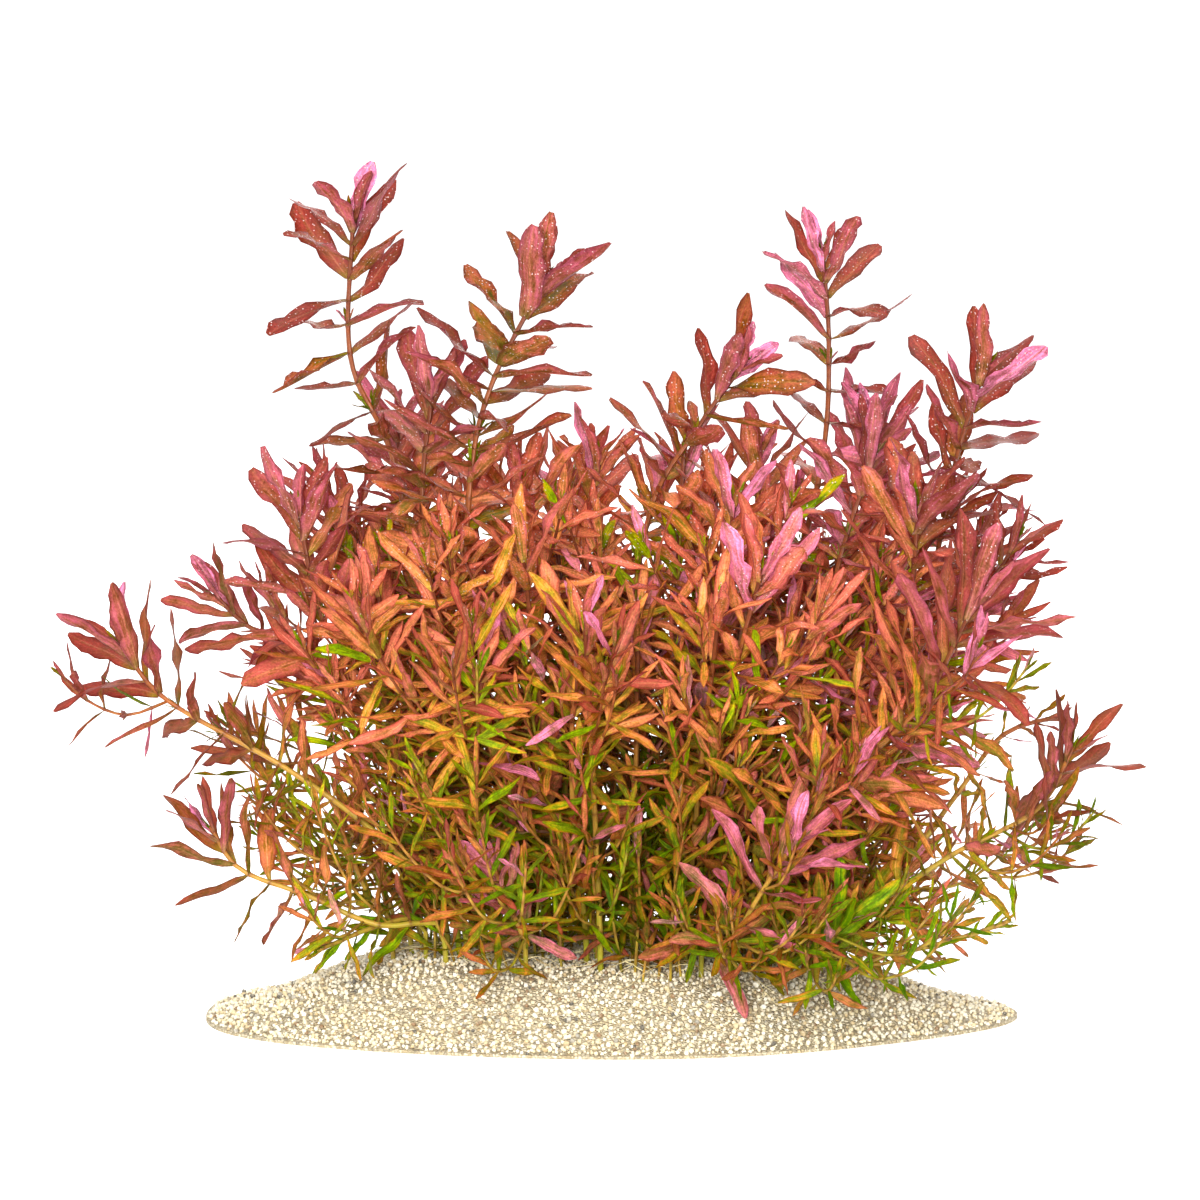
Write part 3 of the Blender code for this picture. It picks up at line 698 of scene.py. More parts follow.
@dataclass(frozen=True)
class Leaf:
    """A blade that springs from a stem and bends in one plane."""

    base: Vector
    along: Vector  # the stem's direction there
    facing: Vector  # the way that its foot faces, square to the stem
    outward: Vector  # the way that it grows, square to the stem
    angle: float
    recurve: float
    roll: float
    length: float
    stem_radius: float
    breadth: float = 1.0  # of its widest section, as a share of a solid's leaf's

    def point(self, share: float) -> Vector:
        """The midrib's point at this share of the leaf's length."""
        chord_angle = self.angle + self.recurve * share / 2
        heading = self.along * cos(chord_angle) + self.outward * sin(chord_angle)
        return self.base + heading * self.length * share

    def foot_sides(self) -> tuple[Vector, Vector]:
        """Half the width and half the height of its foot, as vectors, turned by a strong roll."""
        across = self.along.cross(self.facing) * self.stem_radius
        up = self.along * HABIT.node_band / 2
        if abs(self.roll) > HABIT.quarter:
            return (up, -across) if self.roll > 0 else (-up, across)
        return across, up

    def foot(self, grow: float = 0.0) -> tuple:
        """Its foot on the stem: upper left, upper right, lower right and lower left corner."""
        across, up = (side * (1 + grow / side.length) for side in self.foot_sides())
        base = self.base
        return base - across + up, base + across + up, base + across - up, base - across - up

    def is_sound(self) -> bool:
        """Whether its underside stays under its upper side, which a strong roll would prevent."""
        left_foot, right_foot, *under_foot = self.foot()
        left, right, _, keel, _ = self.corners()
        upper = [(left_foot, right_foot, right), (left_foot, right, left)]
        upper += [(left_foot, right_foot, left), (right_foot, right, left)]
        for a, b, c in upper:
            under = (b - a).cross(c - a).normalized()
            if any((p - a).dot(under) < HABIT.sound_depth for p in (*under_foot, keel)):
                return False
        return True

    def corners(self, grow: float = 0.0) -> tuple:
        """The widest section's left and right margins, top and keel, and the leaf's tip."""
        middle, tip = self.point(HABIT.widest_at), self.point(1.0)
        heading = (tip - middle).normalized()
        across = Matrix.Rotation(self.roll, 3, heading) @ self.along.cross(self.outward)
        under = across.cross(heading)
        half = across * (self.length * HABIT.leaf_width / 2 * self.breadth + grow)
        top = middle - under * grow
        return middle - half, middle + half, top, middle + under * (HABIT.keel + grow), tip + heading * grow

    def swung(self, swing: float, lift: float, share: float) -> "Leaf":
        """The same leaf, turned about its stem, lifted or lowered, and shortened."""
        outward = Matrix.Rotation(radians(swing), 3, self.along) @ self.outward
        least, most = HABIT.lifted
        angle = min(max(self.angle + radians(lift), least), most)
        return replace(self, outward=outward, angle=angle, length=self.length * share)

    def slim_tree(self) -> BVHTree:
        """The space that it takes beside its own shoot's leaves: its foot is a point clear of the stem."""
        points = [self.point(HABIT.slim_foot), *self.corners(HABIT.leaf_clearance)]
        faces = [(0, 3, 1), (0, 2, 3), (0, 1, 4), (0, 4, 2), (5, 1, 3), (5, 3, 2), (5, 4, 1), (5, 2, 4)]
        return BVHTree.FromPolygons(points, faces)

    def full_tree(self) -> BVHTree:
        """The space that it takes among other shoots, with the whole of its foot."""
        points = [*self.foot(HABIT.leaf_clearance), *self.corners(HABIT.leaf_clearance)]
        faces = [(0, 1, 6), (0, 6, 4), (1, 5, 6), (3, 2, 7), (3, 7, 4), (2, 5, 7), (0, 4, 3), (1, 2, 5)]
        faces += [(8, 4, 6), (8, 6, 5), (8, 5, 7), (8, 7, 4)]
        return BVHTree.FromPolygons(points, faces)


def smooth_curve(points: Sequence[Vector], steps: int = 12) -> list[Vector]:
    """A Catmull-Rom curve through the points.

    Args:
        points: the points to pass.
        steps: the pieces of curve from each point to the next.

    Returns:
        The curve's points.
    """
    ends = [points[0] * 2 - points[1], *points, points[-1] * 2 - points[-2]]
    curve = []
    for a, b, c, d in zip(ends, ends[1:], ends[2:], ends[3:]):
        for step in range(steps):
            t = step / steps
            bend = (2 * a - 5 * b + 4 * c - d) * t**2 + (3 * (b - c) + d - a) * t**3
            curve.append(0.5 * (2 * b + (c - a) * t + bend))
    return [*curve, points[-1]]


class Stem:
    """A stem's centre line, measured from its tip down, with a frame that doesn't twist."""

    def __init__(self, points: list[Vector], buried: float, thickness: float = 1.0):
        """Measures the line.

        Args:
            points: from its tip to its foot.
            buried: how much of it is in the gravel or in its parent stem.
            thickness: of it, as a share of a main stem's.
        """
        self.points = points
        self.thickness = thickness
        self.thin = thickness < 1.0
        lengths = ((b - a).length for a, b in zip(points, points[1:]))
        self.runs = list(accumulate(lengths, initial=0.0))
        self.length = self.runs[-1]
        self.surface = self.length - buried
        self.sides = []
        side = Vector((0, -1, 0))
        for i in range(len(points)):
            heading = self.heading(i)
            side = (side - heading * side.dot(heading)).normalized()
            self.sides.append(side.copy())

    @classmethod
    def rooted(cls, shoot: Shoot) -> "Stem":
        """The stem of a shoot that stands in the gravel."""
        foot = Vector((*shoot.root, MOUND.surface(*shoot.root)))
        lean = (Vector(shoot.path[0]) - foot) * HABIT.start_lean
        start = Vector((lean.x, lean.y, HABIT.upright_start))
        buried = foot - start.normalized() * HABIT.planting_depth
        above = [foot + start, *map(Vector, shoot.path)]
        return cls([buried, *smooth_curve([foot, *above])][::-1], HABIT.planting_depth)

    def heading(self, i: int) -> Vector:
        """Direction towards the tip at point i."""
        below, above = min(i + 1, len(self.points) - 1), max(i - 1, 0)
        return (self.points[above] - self.points[below]).normalized()

    def at(self, run: float) -> tuple[Vector, Vector, Vector]:
        """Centre, heading and side at this distance below the tip."""
        i = next(k for k in range(1, len(self.runs)) if self.runs[k] >= run - 1e-6)
        share = (run - self.runs[i - 1]) / (self.runs[i] - self.runs[i - 1])
        centre = self.points[i - 1].lerp(self.points[i], share)
        heading = self.heading(i - 1).lerp(self.heading(i), share).normalized()
        side = self.sides[i - 1].lerp(self.sides[i], share)
        return centre, heading, (side - heading * side.dot(heading)).normalized()

    def sprout(self, run: float, turn: float) -> tuple[Vector, Vector, Vector]:
        """Centre, heading and the way outward after this turn, at this distance below the tip."""
        centre, heading, side = self.at(run)
        return centre, heading, Matrix.Rotation(turn, 3, heading) @ side

    def radius(self, run: float) -> float:
        """The stem's radius at this distance below the tip."""
        swell = (HABIT.stem_radius - HABIT.tip_radius) * min(1.0, run / HABIT.taper_length)
        return (HABIT.tip_radius + swell) * self.thickness

    def ring(self, run: float, turn: float, grow: float = 0.0) -> list[Vector]:
        """The four corners of the solid's stem there: its side k faces the turn plus k quarter turns."""
        centre, heading, side = self.at(run)
        corner = side * (self.radius(run) + grow) * sqrt(2)
        spins = [Matrix.Rotation(turn + radians(90 * k - 45), 3, heading) for k in range(4)]
        return [centre + spin @ corner for spin in spins]

    def node_runs(self, bare: float = HABIT.upright_start) -> list[float]:
        """Distances below the tip of all of its nodes, closer together the younger they are."""
        runs, run = [], HABIT.first_node
        step = HABIT.thin_node_step if self.thin else HABIT.node_step
        while run < self.surface - bare:
            runs.append(run)
            run += step
            step = min(step + HABIT.node_growth, HABIT.longest_internode)
        return runs

    def solid_rings(self, pairs: Sequence["Pair"]) -> list[tuple[float, float]]:
        """Runs and turns of the rings that the solid's stem has, from the foot up."""
        half, turn = HABIT.node_band / 2, pairs[0].turn
        rings = [(self.length, turn), (self.surface - HABIT.surface_ring, turn)]
        bare = rings[-1][0] - pairs[-1].run - half
        count = max(1, round(bare / HABIT.ring_spacing))
        rings += [(rings[1][0] - bare * i / count, turn) for i in range(1, count)]
        for pair in reversed(pairs):
            if rings[-1][0] - pair.run - half > half:
                rings.append((pair.run + half, pair.turn))
            rings.append((pair.run - half, pair.turn))
        return rings

    def tube_tree(self, rings: Sequence[tuple[float, float]], grow: float) -> BVHTree:
        """The space that it takes with this much room around it."""
        points = [corner for run, turn in rings for corner in self.ring(run, turn, grow)]
        faces = []
        for i in range(0, len(points) - 4, 4):
            faces += [(i + k, i + (k + 1) % 4, i + (k + 1) % 4 + 4, i + k + 4) for k in range(4)]
        return BVHTree.FromPolygons(points, faces)


@dataclass(frozen=True)
class Pair:
    """Two opposite leaves of a shoot."""

    number: float  # from the tip down, and a half for those between two nodes
    run: float  # from the stem's tip
    turn: float
    leaves: tuple


@dataclass
class Placed:
    """A shoot with its stem, the space that it takes, its fitted leaves and its side shoots."""

    shoot: Shoot
    stem: Stem
    tree: Optional[BVHTree] = None
    pairs: list[Pair] = field(default_factory=list)
    leaves: list[tuple[float, Leaf]] = field(default_factory=list)  # with the numbers of their pairs
    twigs: list["Placed"] = field(default_factory=list)
    bare: float = HABIT.upright_start  # length of leafless stem at its foot
    fresh: bool = False  # all new growth, bright green


# The plan of the clump: root, path, a full leaf's length, leaf pairs of the solid, and sway
OUTER_SHOOTS = {
    "tall_left": ((-38, 10), ((-50, 12, 101), (-62, 14, 166), (-75, 13, 198), (-74, 10, 241)), 31, 8, -26),
    "tall_mid": ((-24, -14), ((-40, -22, 99), (-39, -20, 158), (-33, -18, 190), (-16, -15, 224)), 33, 8, -6),
    "tall_right": ((44, 18), ((55, 18, 111), (67, 19, 166), (69, 19, 201), (67, 18, 229)), 30, 8, 20),
    "leaning_centre": ((8, 4), ((8, 6, 101), (15, 5, 152), (29, 4, 177), (43, 3, 197)), 28, 7, 12),
    "upper_right": ((62, 4), ((90, 3, 93), (102, 1, 144), (107, 0, 170), (115, -2, 196)), 33, 8, 18),
    "big_right": ((40, -34), ((53, -48, 63), (74, -56, 82), (94, -60, 102), (109, -62, 131)), 40, 7, 22),
    "far_right": ((66, -18), ((85, -22, 39), (106, -24, 53), (130, -24, 66), (141, -24, 85)), 30, 7, 10),
    "far_left": ((-42, -8), ((-64, -15, 55), (-93, -17, 77), (-129, -18, 98), (-143, -18, 115)), 32, 7, -8),
    "low_left": ((-46, -24), ((-66, -29, 32), (-87, -30, 41), (-107, -30, 49), (-116, -30, 62)), 29, 6, -8),
    "middle_left": ((-46, 6), ((-58, 3, 73), (-81, 2, 106), (-104, 1, 117), (-116, 0, 128)), 28, 6, -6),
    "upper_left": ((-34, -2), ((-62, -10, 90), (-82, -12, 120), (-90, -12, 154)), 34, 6, 0),
    "back_left": ((-30, 26), ((-46, 38, 93), (-58, 43, 138), (-62, 44, 175)), 30, 6, 0),
    "mid_left": ((-25, -3), ((-44, -4, 96), (-53, -6, 150), (-50, -6, 190)), 32, 6, 0),
    "mid_centre": ((0, 16), ((-2, 22, 96), (-4, 24, 140), (0, 24, 167)), 28, 5, 0),
    "mid_right": ((30, 8), ((38, 10, 96), (46, 12, 140), (48, 12, 170)), 28, 5, 6),
    "crown_right": ((56, -16), ((74, -26, 78), (90, -32, 120), (94, -34, 158)), 36, 6, 10),
    "right_inner": ((52, -6), ((63, -9, 92), (71, -10, 137), (82, -9, 171)), 30, 6, 10),
    "front_rose": ((30, -38), ((38, -58, 31), (46, -70, 46), (57, -76, 64)), 33, 4, 8),
    "front_small": ((-22, -38), ((-23, -53, 33), (-32, -60, 56)), 20, 4, 0),
    "front_orange": ((54, -36), ((63, -54, 27), (73, -68, 40)), 27, 5, 10),
    "front_red": ((26, -20), ((34, -38, 78), (41, -45, 115), (48, -48, 141)), 31, 6, 0),
    "front_middle": ((-4, -24), ((-8, -40, 68), (-8, -48, 101), (-6, -51, 128)), 27, 5, 0),
    "front_left": ((-30, -28), ((-36, -42, 64), (-36, -50, 91), (-34, -53, 116)), 26, 6, 0),
    "creeping_left": ((-52, -14), ((-66, -24, 31), (-84, -34, 25)), 15, 3, 0),
    "runner_right": ((72, -2), ((92, -3, 47), (108, -4, 69), (121, -5, 86), (139, -5, 92)), 12, 4, 0),
    "runner_low": ((68, -30), ((87, -33, 24), (108, -33, 29), (122, -34, 34)), 9, 3, 0),
    "mid_front": ((18, -8), ((30, -14, 84), (36, -16, 122), (40, -18, 158)), 32, 5, 4),
    "mid_upper": ((-12, 6), ((-22, 6, 90), (-24, 4, 130), (-24, 2, 160)), 30, 5, 0),
    "back_right": ((58, 14), ((72, 22, 96), (80, 24, 140), (82, 22, 178)), 32, 6, 6),
}


# The shoots with leaves between their nodes too, below the first of their old nodes
LEAFIEST = (
    "tall_mid", "leaning_centre", "upper_right", "big_right", "upper_left", "mid_left", "mid_centre",
    "mid_right", "crown_right", "right_inner", "mid_front", "mid_upper", "front_red", "far_right",
)
OLD_NODE = 5


@dataclass(frozen=True)
class Planting:
    """Where the stems stand, how high they reach and which leaf pairs their solids have."""

    planted_half: tuple = (66.0, 41.0)
    planted_centre: tuple = (8.0, 2.0)
    crown_half: tuple = (104.0, 80.0)
    crown_centre: tuple = (8.0, 6.0)
    crown_top: float = 166.0
    crown_rim: float = 94.0
    storeys: tuple = (1.0, 0.92, 0.8)
    height_spread: tuple = (0.95, 1.05)
    inner_bend: tuple = (0.42, 0.58)  # where an inner shoot bends, as shares of its reach and its height
    low_bend: tuple = (0.5, 0.66)
    inner_shoots: int = 18
    inner_nodes: tuple = (1, 4, 7)
    inner_leaf: tuple = (25.0, 32.0)
    low_shoots: int = 8
    low_first: float = radians(-15)
    low_step: float = radians(30)
    low_reach: float = 1.1
    low_lean: tuple = (14.0, 20.0)
    low_height: tuple = (34.0, 46.0)
    low_leaf: float = 20.0
    low_nodes: tuple = (0, 2)
    outer_nodes: tuple = (0, 1, 2, 3, 4, 7, 8, 11)
    outer_turn: float = radians(47)
    outer_turn_spread: float = radians(12)
    inner_turn: float = radians(37)
    place_tries: int = 30
    place_turn: float = radians(5)
    green_below: float = 50.0
    olive_below: float = 105.0
    rose_before: float = -45.0

    def slot(self, tip: Sequence[float]) -> Slot:
        """Creeping shoots are green, those in front rosy, and the rest olive below and copper above."""
        _, y, z = tip
        if z < self.green_below:
            return Slot.GREEN
        if y < self.rose_before:
            return Slot.ROSE
        return Slot.OLIVE if z < self.olive_below else Slot.COPPER

    def outer_shoot(self, name: str, number: int) -> Shoot:
        """One of the shoots that stand out of the clump."""
        root, path, leaf, pairs, sway = OUTER_SHOOTS[name]
        turn = self.outer_turn + self.outer_turn_spread * sin(2.4 * number)
        nodes, slot = self.outer_nodes[:pairs], self.slot(path[-1])
        return Shoot(name, root, path, leaf, nodes, turn, sway, slot, outer=True)

    def inner_shoot(self, number: int, twist: float) -> Shoot:
        """One of the shoots that fill the clump: its foot and its tip keep to one spoke of a spiral."""
        share = sqrt((number + 0.5) / self.inner_shoots)
        spoke = number * GOLDEN_ANGLE + twist
        chance = Random(77 + number)
        dome = self.crown_rim + (self.crown_top - self.crown_rim) * sqrt(max(0.0, 1 - share**3))
        height = dome * self.storeys[number % len(self.storeys)] * chance.uniform(*self.height_spread)
        reach = direction(spoke) * share
        root = Vector(self.planted_centre) + reach * Vector(self.planted_half)
        tip = Vector(self.crown_centre) + reach * Vector(self.crown_half)
        share, rise = self.inner_bend
        path = ((*root.lerp(tip, share), rise * height), (*tip, height))
        leaf, turn = chance.uniform(*self.inner_leaf), self.inner_turn * number
        name, nodes = f"inner_{number + 1:02d}", self.inner_nodes
        return Shoot(name, tuple(root), path, leaf, nodes, turn, 0.0, self.slot(path[-1]))

    def low_shoot(self, number: int, twist: float) -> Shoot:
        """One of the short shoots that lean out round the clump's foot."""
        spoke = self.low_first + number * self.low_step + twist
        chance = Random(310 + number)
        outward = direction(spoke)
        root = Vector(self.planted_centre) + outward * Vector(self.planted_half) * self.low_reach
        tip = root + outward * chance.uniform(*self.low_lean)
        height = MOUND.surface(*root) + chance.uniform(*self.low_height)
        share, rise = self.low_bend
        path = ((*root.lerp(tip, share), rise * height), (*tip, height))
        name, turn, slot = f"low_{number + 1:02d}", self.inner_turn * number, self.slot(path[-1])
        return Shoot(name, tuple(root), path, self.low_leaf, self.low_nodes, turn, 0.0, slot)


@dataclass(frozen=True)
class Tries:
    """How a leaf may turn, lift and shrink to find room."""

    swings: tuple
    lifts: tuple
    shares: tuple
    over_gravel: float
    in_box: bool  # whether it has to stay in the solids' box


SOLID_TRIES = Tries((0, 16, -16, 32, -32), (0, -14, 14, -28), (1.0, 0.85, 0.7), HABIT.gravel_clearance, False)
MORE_TRIES = Tries((0, 20, -20, 42, -42), (0, -18, 12, -36), (1.0, 0.75, 0.55), 0.4, True)


class LeafSpaces:
    """The space that the placed leaves take, with a quick search for those near a point."""

    def __init__(self, room: int = 12000):
        """Keeps room for this many leaves."""
        self.middles = np.zeros((room, 3))
        self.reaches = np.zeros(room)
        self.items: list[tuple[Placed, BVHTree, BVHTree]] = []

    def add(self, middle: Vector, reach: float, owner: Placed, slim: BVHTree, full: BVHTree) -> None:
        """Adds a leaf with its middle, reach, owner and two spaces."""
        count = len(self.items)
        self.middles[count] = middle
        self.reaches[count] = reach
        self.items.append((owner, slim, full))

    def near(self, middle: Vector, reach: float) -> Iterable[tuple[Placed, BVHTree, BVHTree]]:
        """The leaves that could touch something with this middle and reach."""
        count = len(self.items)
        offsets = self.middles[:count] - np.array(middle)
        near = np.einsum("ij,ij->i", offsets, offsets) < (self.reaches[:count] + reach) ** 2
        return (self.items[i] for i in np.nonzero(near)[0])


class Clump:
    """All shoots, each placed where its stem has room and with the leaves that have room."""

    def __init__(self, planting: Planting, low: Vector, high: Vector):
        """Starts an empty clump in the solids' box, whose corners are in millimetres."""
        self.planting = planting
        self.low = low
        self.high = high
        self.shoots: list[Placed] = []
        self.sprigs: list[Placed] = []
        self.stems: list[Placed] = []  # all of them, side shoots too
        self.spaces = LeafSpaces()

    def leaf_pair(self, own: Placed, number: float, run: float) -> Pair:
        """Pair number of the shoot, square to the pair before it, give or take."""
        shoot, stem = own.shoot, own.stem
        chance = Random(f"{shoot.name} {number}")
        turn = shoot.turn + either_way(HABIT.node_jitter, chance)
        young = number < len(HABIT.young_lengths)
        size = HABIT.young_lengths[number] if young else 1 - HABIT.old_shrink * run / stem.length
        angles = HABIT.young_angles
        angle = angles[int(number)] if number < len(angles) else HABIT.old_angle
        if stem.thin:
            angle += chance.uniform(0, HABIT.thin_droop) * min(number, OLD_NODE) / OLD_NODE
        leaves = []
        for face in (number % 2, number % 2 + 2):
            centre, heading, outward = stem.sprout(run, turn + radians(90 * face))
            spread = either_way(HABIT.angle_spread, chance)
            front = heading.cross(outward).y
            recurve = chance.uniform(*(HABIT.young_recurve if young else HABIT.recurve))
            roll = front * chance.uniform(*HABIT.roll) + either_way(HABIT.stray_roll, chance)
            leaves.append(Leaf(
                base=centre + outward * stem.radius(run),
                along=heading, facing=outward, outward=outward,
                angle=radians(max(HABIT.flattest, angle + spread + shoot.sway * outward.x)),
                recurve=radians(recurve), roll=radians(roll),
                length=shoot.leaf * size * chance.uniform(*HABIT.length_spread),
                stem_radius=stem.radius(run),
                breadth=HABIT.thin_breadth if stem.thin else 1.0,
            ))
        return Pair(number, run, turn, tuple(leaves))

    def solid_pairs(self, own: Placed) -> list[Pair]:
        """The leaf pairs that the shoot's solid has, from its tip down."""
        runs = own.stem.node_runs()
        numbers = (number for number in own.shoot.nodes if number < len(runs))
        return [self.leaf_pair(own, number, runs[number]) for number in numbers]

    def try_stem(self, shoot: Shoot) -> bool:
        """Adds the shoot if its stem keeps clear of the others."""
        own = Placed(shoot, Stem.rooted(shoot))
        own.pairs = self.solid_pairs(own)
        own.tree = own.stem.tube_tree(own.stem.solid_rings(own.pairs), HABIT.stem_clearance)
        foot = Vector(shoot.root)
        for other in self.shoots:
            near = (foot - Vector(other.shoot.root)).length < HABIT.foot_spacing
            if near or own.tree.overlap(other.tree):
                return False
        self.shoots.append(own)
        self.stems.append(own)
        return True

    def find_room(self, planned: Callable[[int, float], Shoot], count: int, step: float) -> None:
        """Adds shoots, each of them turned about the clump, further and further, until it has room.

        Args:
            planned: the shoot of this number after this turn.
            count: how many there are.
            step: the angle from one try to the next but one.
        """
        for number in range(count):
            tries = (step * ((k + 1) // 2) * (-1) ** k for k in range(self.planting.place_tries))
            if not any(self.try_stem(planned(number, twist)) for twist in tries):
                log.warning("no room for %s", planned(number, 0.0).name)

    def place_stems(self) -> None:
        """Adds the outer shoots, then the inner and the low ones where they fit."""
        plan = self.planting
        for number, name in enumerate(OUTER_SHOOTS):
            if not self.try_stem(plan.outer_shoot(name, number)):
                log.warning("no room for %s", name)
        self.find_room(plan.inner_shoot, plan.inner_shoots, plan.place_turn)
        self.find_room(plan.low_shoot, plan.low_shoots, plan.place_turn / 2)

    def in_box(self, point: Vector) -> bool:
        """Whether a point is in the solids' box."""
        return all(low < value < high for low, value, high in zip(self.low, point, self.high))

    def has_room(self, leaf: Leaf, own: Placed, tries: Tries) -> bool:
        """Whether a leaf keeps clear of the gravel, its own stem, other stems and other leaves."""
        *section, tip = leaf.corners()
        if MOUND.buries((*section, tip), tries.over_gravel) or tries.in_box and not self.in_box(tip):
            return False
        reach = tip - leaf.base
        drift = reach - leaf.along * reach.dot(leaf.along)
        if drift.dot(leaf.outward) < leaf.length * HABIT.least_reach:
            return False
        slim, full = leaf.slim_tree(), leaf.full_tree()
        middle, reach = leaf.point(0.5), leaf.length / 2 + HABIT.near
        for other in self.stems:
            if other is not own and other.tree.find_nearest(middle, reach)[0] and full.overlap(other.tree):
                return False
        for owner, slim_space, full_space in self.spaces.near(middle, reach):
            if slim.overlap(slim_space) if owner is own else full.overlap(full_space):
                return False
        self.spaces.add(middle, reach, own, slim, full)
        return True

    def fit_leaf(self, leaf: Leaf, own: Placed, tries: Tries) -> Optional[Leaf]:
        """The leaf as it is, or swung or shortened until it has room.

        Args:
            leaf: the leaf as it would grow.
            own: the shoot that it grows from.
            tries: how it may give way.

        Returns:
            The leaf that fits, or None.
        """
        for share, lift, swing in product(tries.shares, tries.lifts, tries.swings):
            trial = leaf.swung(swing, lift, share)
            rolled = (replace(trial, roll=trial.roll * part) for part in HABIT.roll_shares)
            trial = next((blade for blade in rolled if blade.is_sound()), None)
            if trial and self.has_room(trial, own, tries):
                return trial
        return None

    def fit_pair(self, pair: Pair, own: Placed, tries: Tries) -> None:
        """Gives a shoot those leaves of a pair that find room."""
        for leaf in pair.leaves:
            fitted = self.fit_leaf(leaf, own, tries)
            if fitted:
                own.leaves.append((pair.number, fitted))

    def place_solid_leaves(self) -> None:
        """Fits the leaves that the solids have, as the solids' source does."""
        for own in self.shoots:
            for pair in own.pairs:
                self.fit_pair(pair, own, SOLID_TRIES)

    def is_clear(self, own: Placed) -> bool:
        """Whether a new thin stem keeps to the box and clear of the gravel, all stems and all leaves."""
        stem = own.stem
        above = [p for p, run in zip(stem.points, stem.runs) if run < stem.surface - HABIT.near]
        if MOUND.buries(above, HABIT.gravel_clearance) or not self.in_box(stem.points[0]):
            return False
        if any(own.tree.overlap(other.tree) for other in self.stems):
            return False
        middle, reach = (stem.points[0] + stem.points[-1]) / 2, stem.length / 2 + HABIT.near
        return not any(own.tree.overlap(full) for _, _, full in self.spaces.near(middle, reach))

    def grow_twigs(self) -> None:
        """Gives every shoot its side shoots."""
        for parent in self.shoots:
            chance = Random(f"side shoots of {parent.shoot.name}")
            for number in range(TWIGS.how_many(parent.shoot, chance)):
                for _ in range(TWIGS.tries):
                    own = TWIGS.grow(parent, number, chance)
                    if self.is_clear(own):
                        parent.twigs.append(own)
                        self.stems.append(own)
                        break

    def plant_sprigs(self) -> None:
        """Plants the small shoots between and around the feet of the others."""
        chance = Random(4)
        for number in range(SPRIGS.tries):
            own = SPRIGS.grow(number, self.planting, chance)
            if self.is_clear(own):
                self.sprigs.append(own)
                self.stems.append(own)
            if len(self.sprigs) == SPRIGS.count:
                return

    def place_more_leaves(self) -> None:
        """Fits all the leaves that the solids leave out, on the shoots first and then on the thin stems."""
        for own in self.stems:
            nodes = list(enumerate(own.stem.node_runs(own.bare)))
            if own.shoot.name in LEAFIEST:
                gaps = zip(nodes[OLD_NODE:], nodes[OLD_NODE + 1:])
                nodes += [(number + 0.5, (above + below) / 2) for (number, above), (_, below) in gaps]
            for number, run in nodes:
                if number not in own.shoot.nodes:
                    self.fit_pair(self.leaf_pair(own, number, run), own, MORE_TRIES)


@dataclass(frozen=True)
class TwigHabit:
    """How side shoots grow."""

    count: tuple = (10, 14)
    sparse: tuple = (
        ("far_left", 1), ("low_left", 1), ("middle_left", 3), ("far_right", 8), ("creeping_left", 1),
        ("runner_right", 0), ("runner_low", 0),
    )
    low_count: int = 3  # on the short shoots round the clump's foot
    fresh: float = 0.12  # share of them that are all new growth
    fresh_leaf: float = 0.7  # how long their leaves are, as a share of the others'
    tries: int = 10
    growing: tuple = (25.0, 110.0)  # heights between which their leaves get longer
    leaving: tuple = (0.1, 0.86)  # where they leave the stem, as shares of its height
    length: tuple = (22.0, 52.0)
    leaf: tuple = (13.0, 18.0)
    leaf_growth: float = 9.0  # how much longer its leaves are at full height
    highest: float = 146.0
    branch_angle: tuple = (42.0, 66.0)
    thickness: float = 0.62
    clear_of_parent: float = 4.0
    ring_spacing: float = 7.0
    clearance: float = 0.4
    bare: float = 4.0
    middle: tuple = (8.0, 2.0)  # of the clump, away from which they lean
    wander: float = 0.8  # how much they may stray from that way
    growth: tuple = (0.7, 0.5)  # of their lengths: a share for all, and more of it with height
    bends: tuple = ((1.0, 0.35), (0.6, 0.33), (0.45, 0.32))  # how much of their way they keep, for which part

    def how_many(self, shoot: Shoot, chance: Random) -> int:
        """How many side shoots a shoot has."""
        most = self.low_count if shoot.name.startswith("low_0") else self.count[1]
        return min(chance.randint(*self.count), dict(self.sparse).get(shoot.name, most))

    def grow(self, parent: Placed, number: int, chance: Random) -> Placed:
        """A side shoot that curves up and away from its parent.

        Args:
            parent: the shoot that it grows from.
            number: its number on the parent.
            chance: draws its place, size and direction.

        Returns:
            The side shoot, which may still hit something.
        """
        stem = parent.stem
        share = chance.uniform(*self.leaving) * min(1.0, self.highest / stem.points[0].z)
        run = stem.surface * (1 - share)
        centre, heading, _ = stem.at(run)
        away = Vector((centre.x - self.middle[0], (centre.y - self.middle[1]) * 1.4, 0)) / 60
        wander = direction(chance.uniform(0, 2 * pi)).to_3d() * self.wander
        outward = away + wander
        outward = (outward - heading * outward.dot(heading)).normalized()
        angle = radians(chance.uniform(*self.branch_angle))
        start = heading * cos(angle) + outward * sin(angle)
        length = chance.uniform(*self.length) * (self.growth[0] + self.growth[1] * share)
        points = [centre]
        for keep, part in self.bends:
            bend = start * keep + Vector((0, 0, 1)) * (1 - keep)
            points.append(points[-1] + bend.normalized() * length * part)
        line = Stem(smooth_curve(points, 5)[::-1], stem.radius(run), self.thickness)
        leaf = chance.uniform(*self.leaf) + self.leaf_growth * between(centre.z, *self.growing)
        name = f"{parent.shoot.name}_side_{number + 1}"
        shoot = Shoot(name, (centre.x, centre.y), (), leaf, (), chance.uniform(0, 3), 0.0, parent.shoot.slot)
        fresh = chance.random() < self.fresh
        if fresh:
            shoot = replace(shoot, leaf=leaf * self.fresh_leaf)
        return thin_stem(shoot, line, self.clear_of_parent, self, fresh)


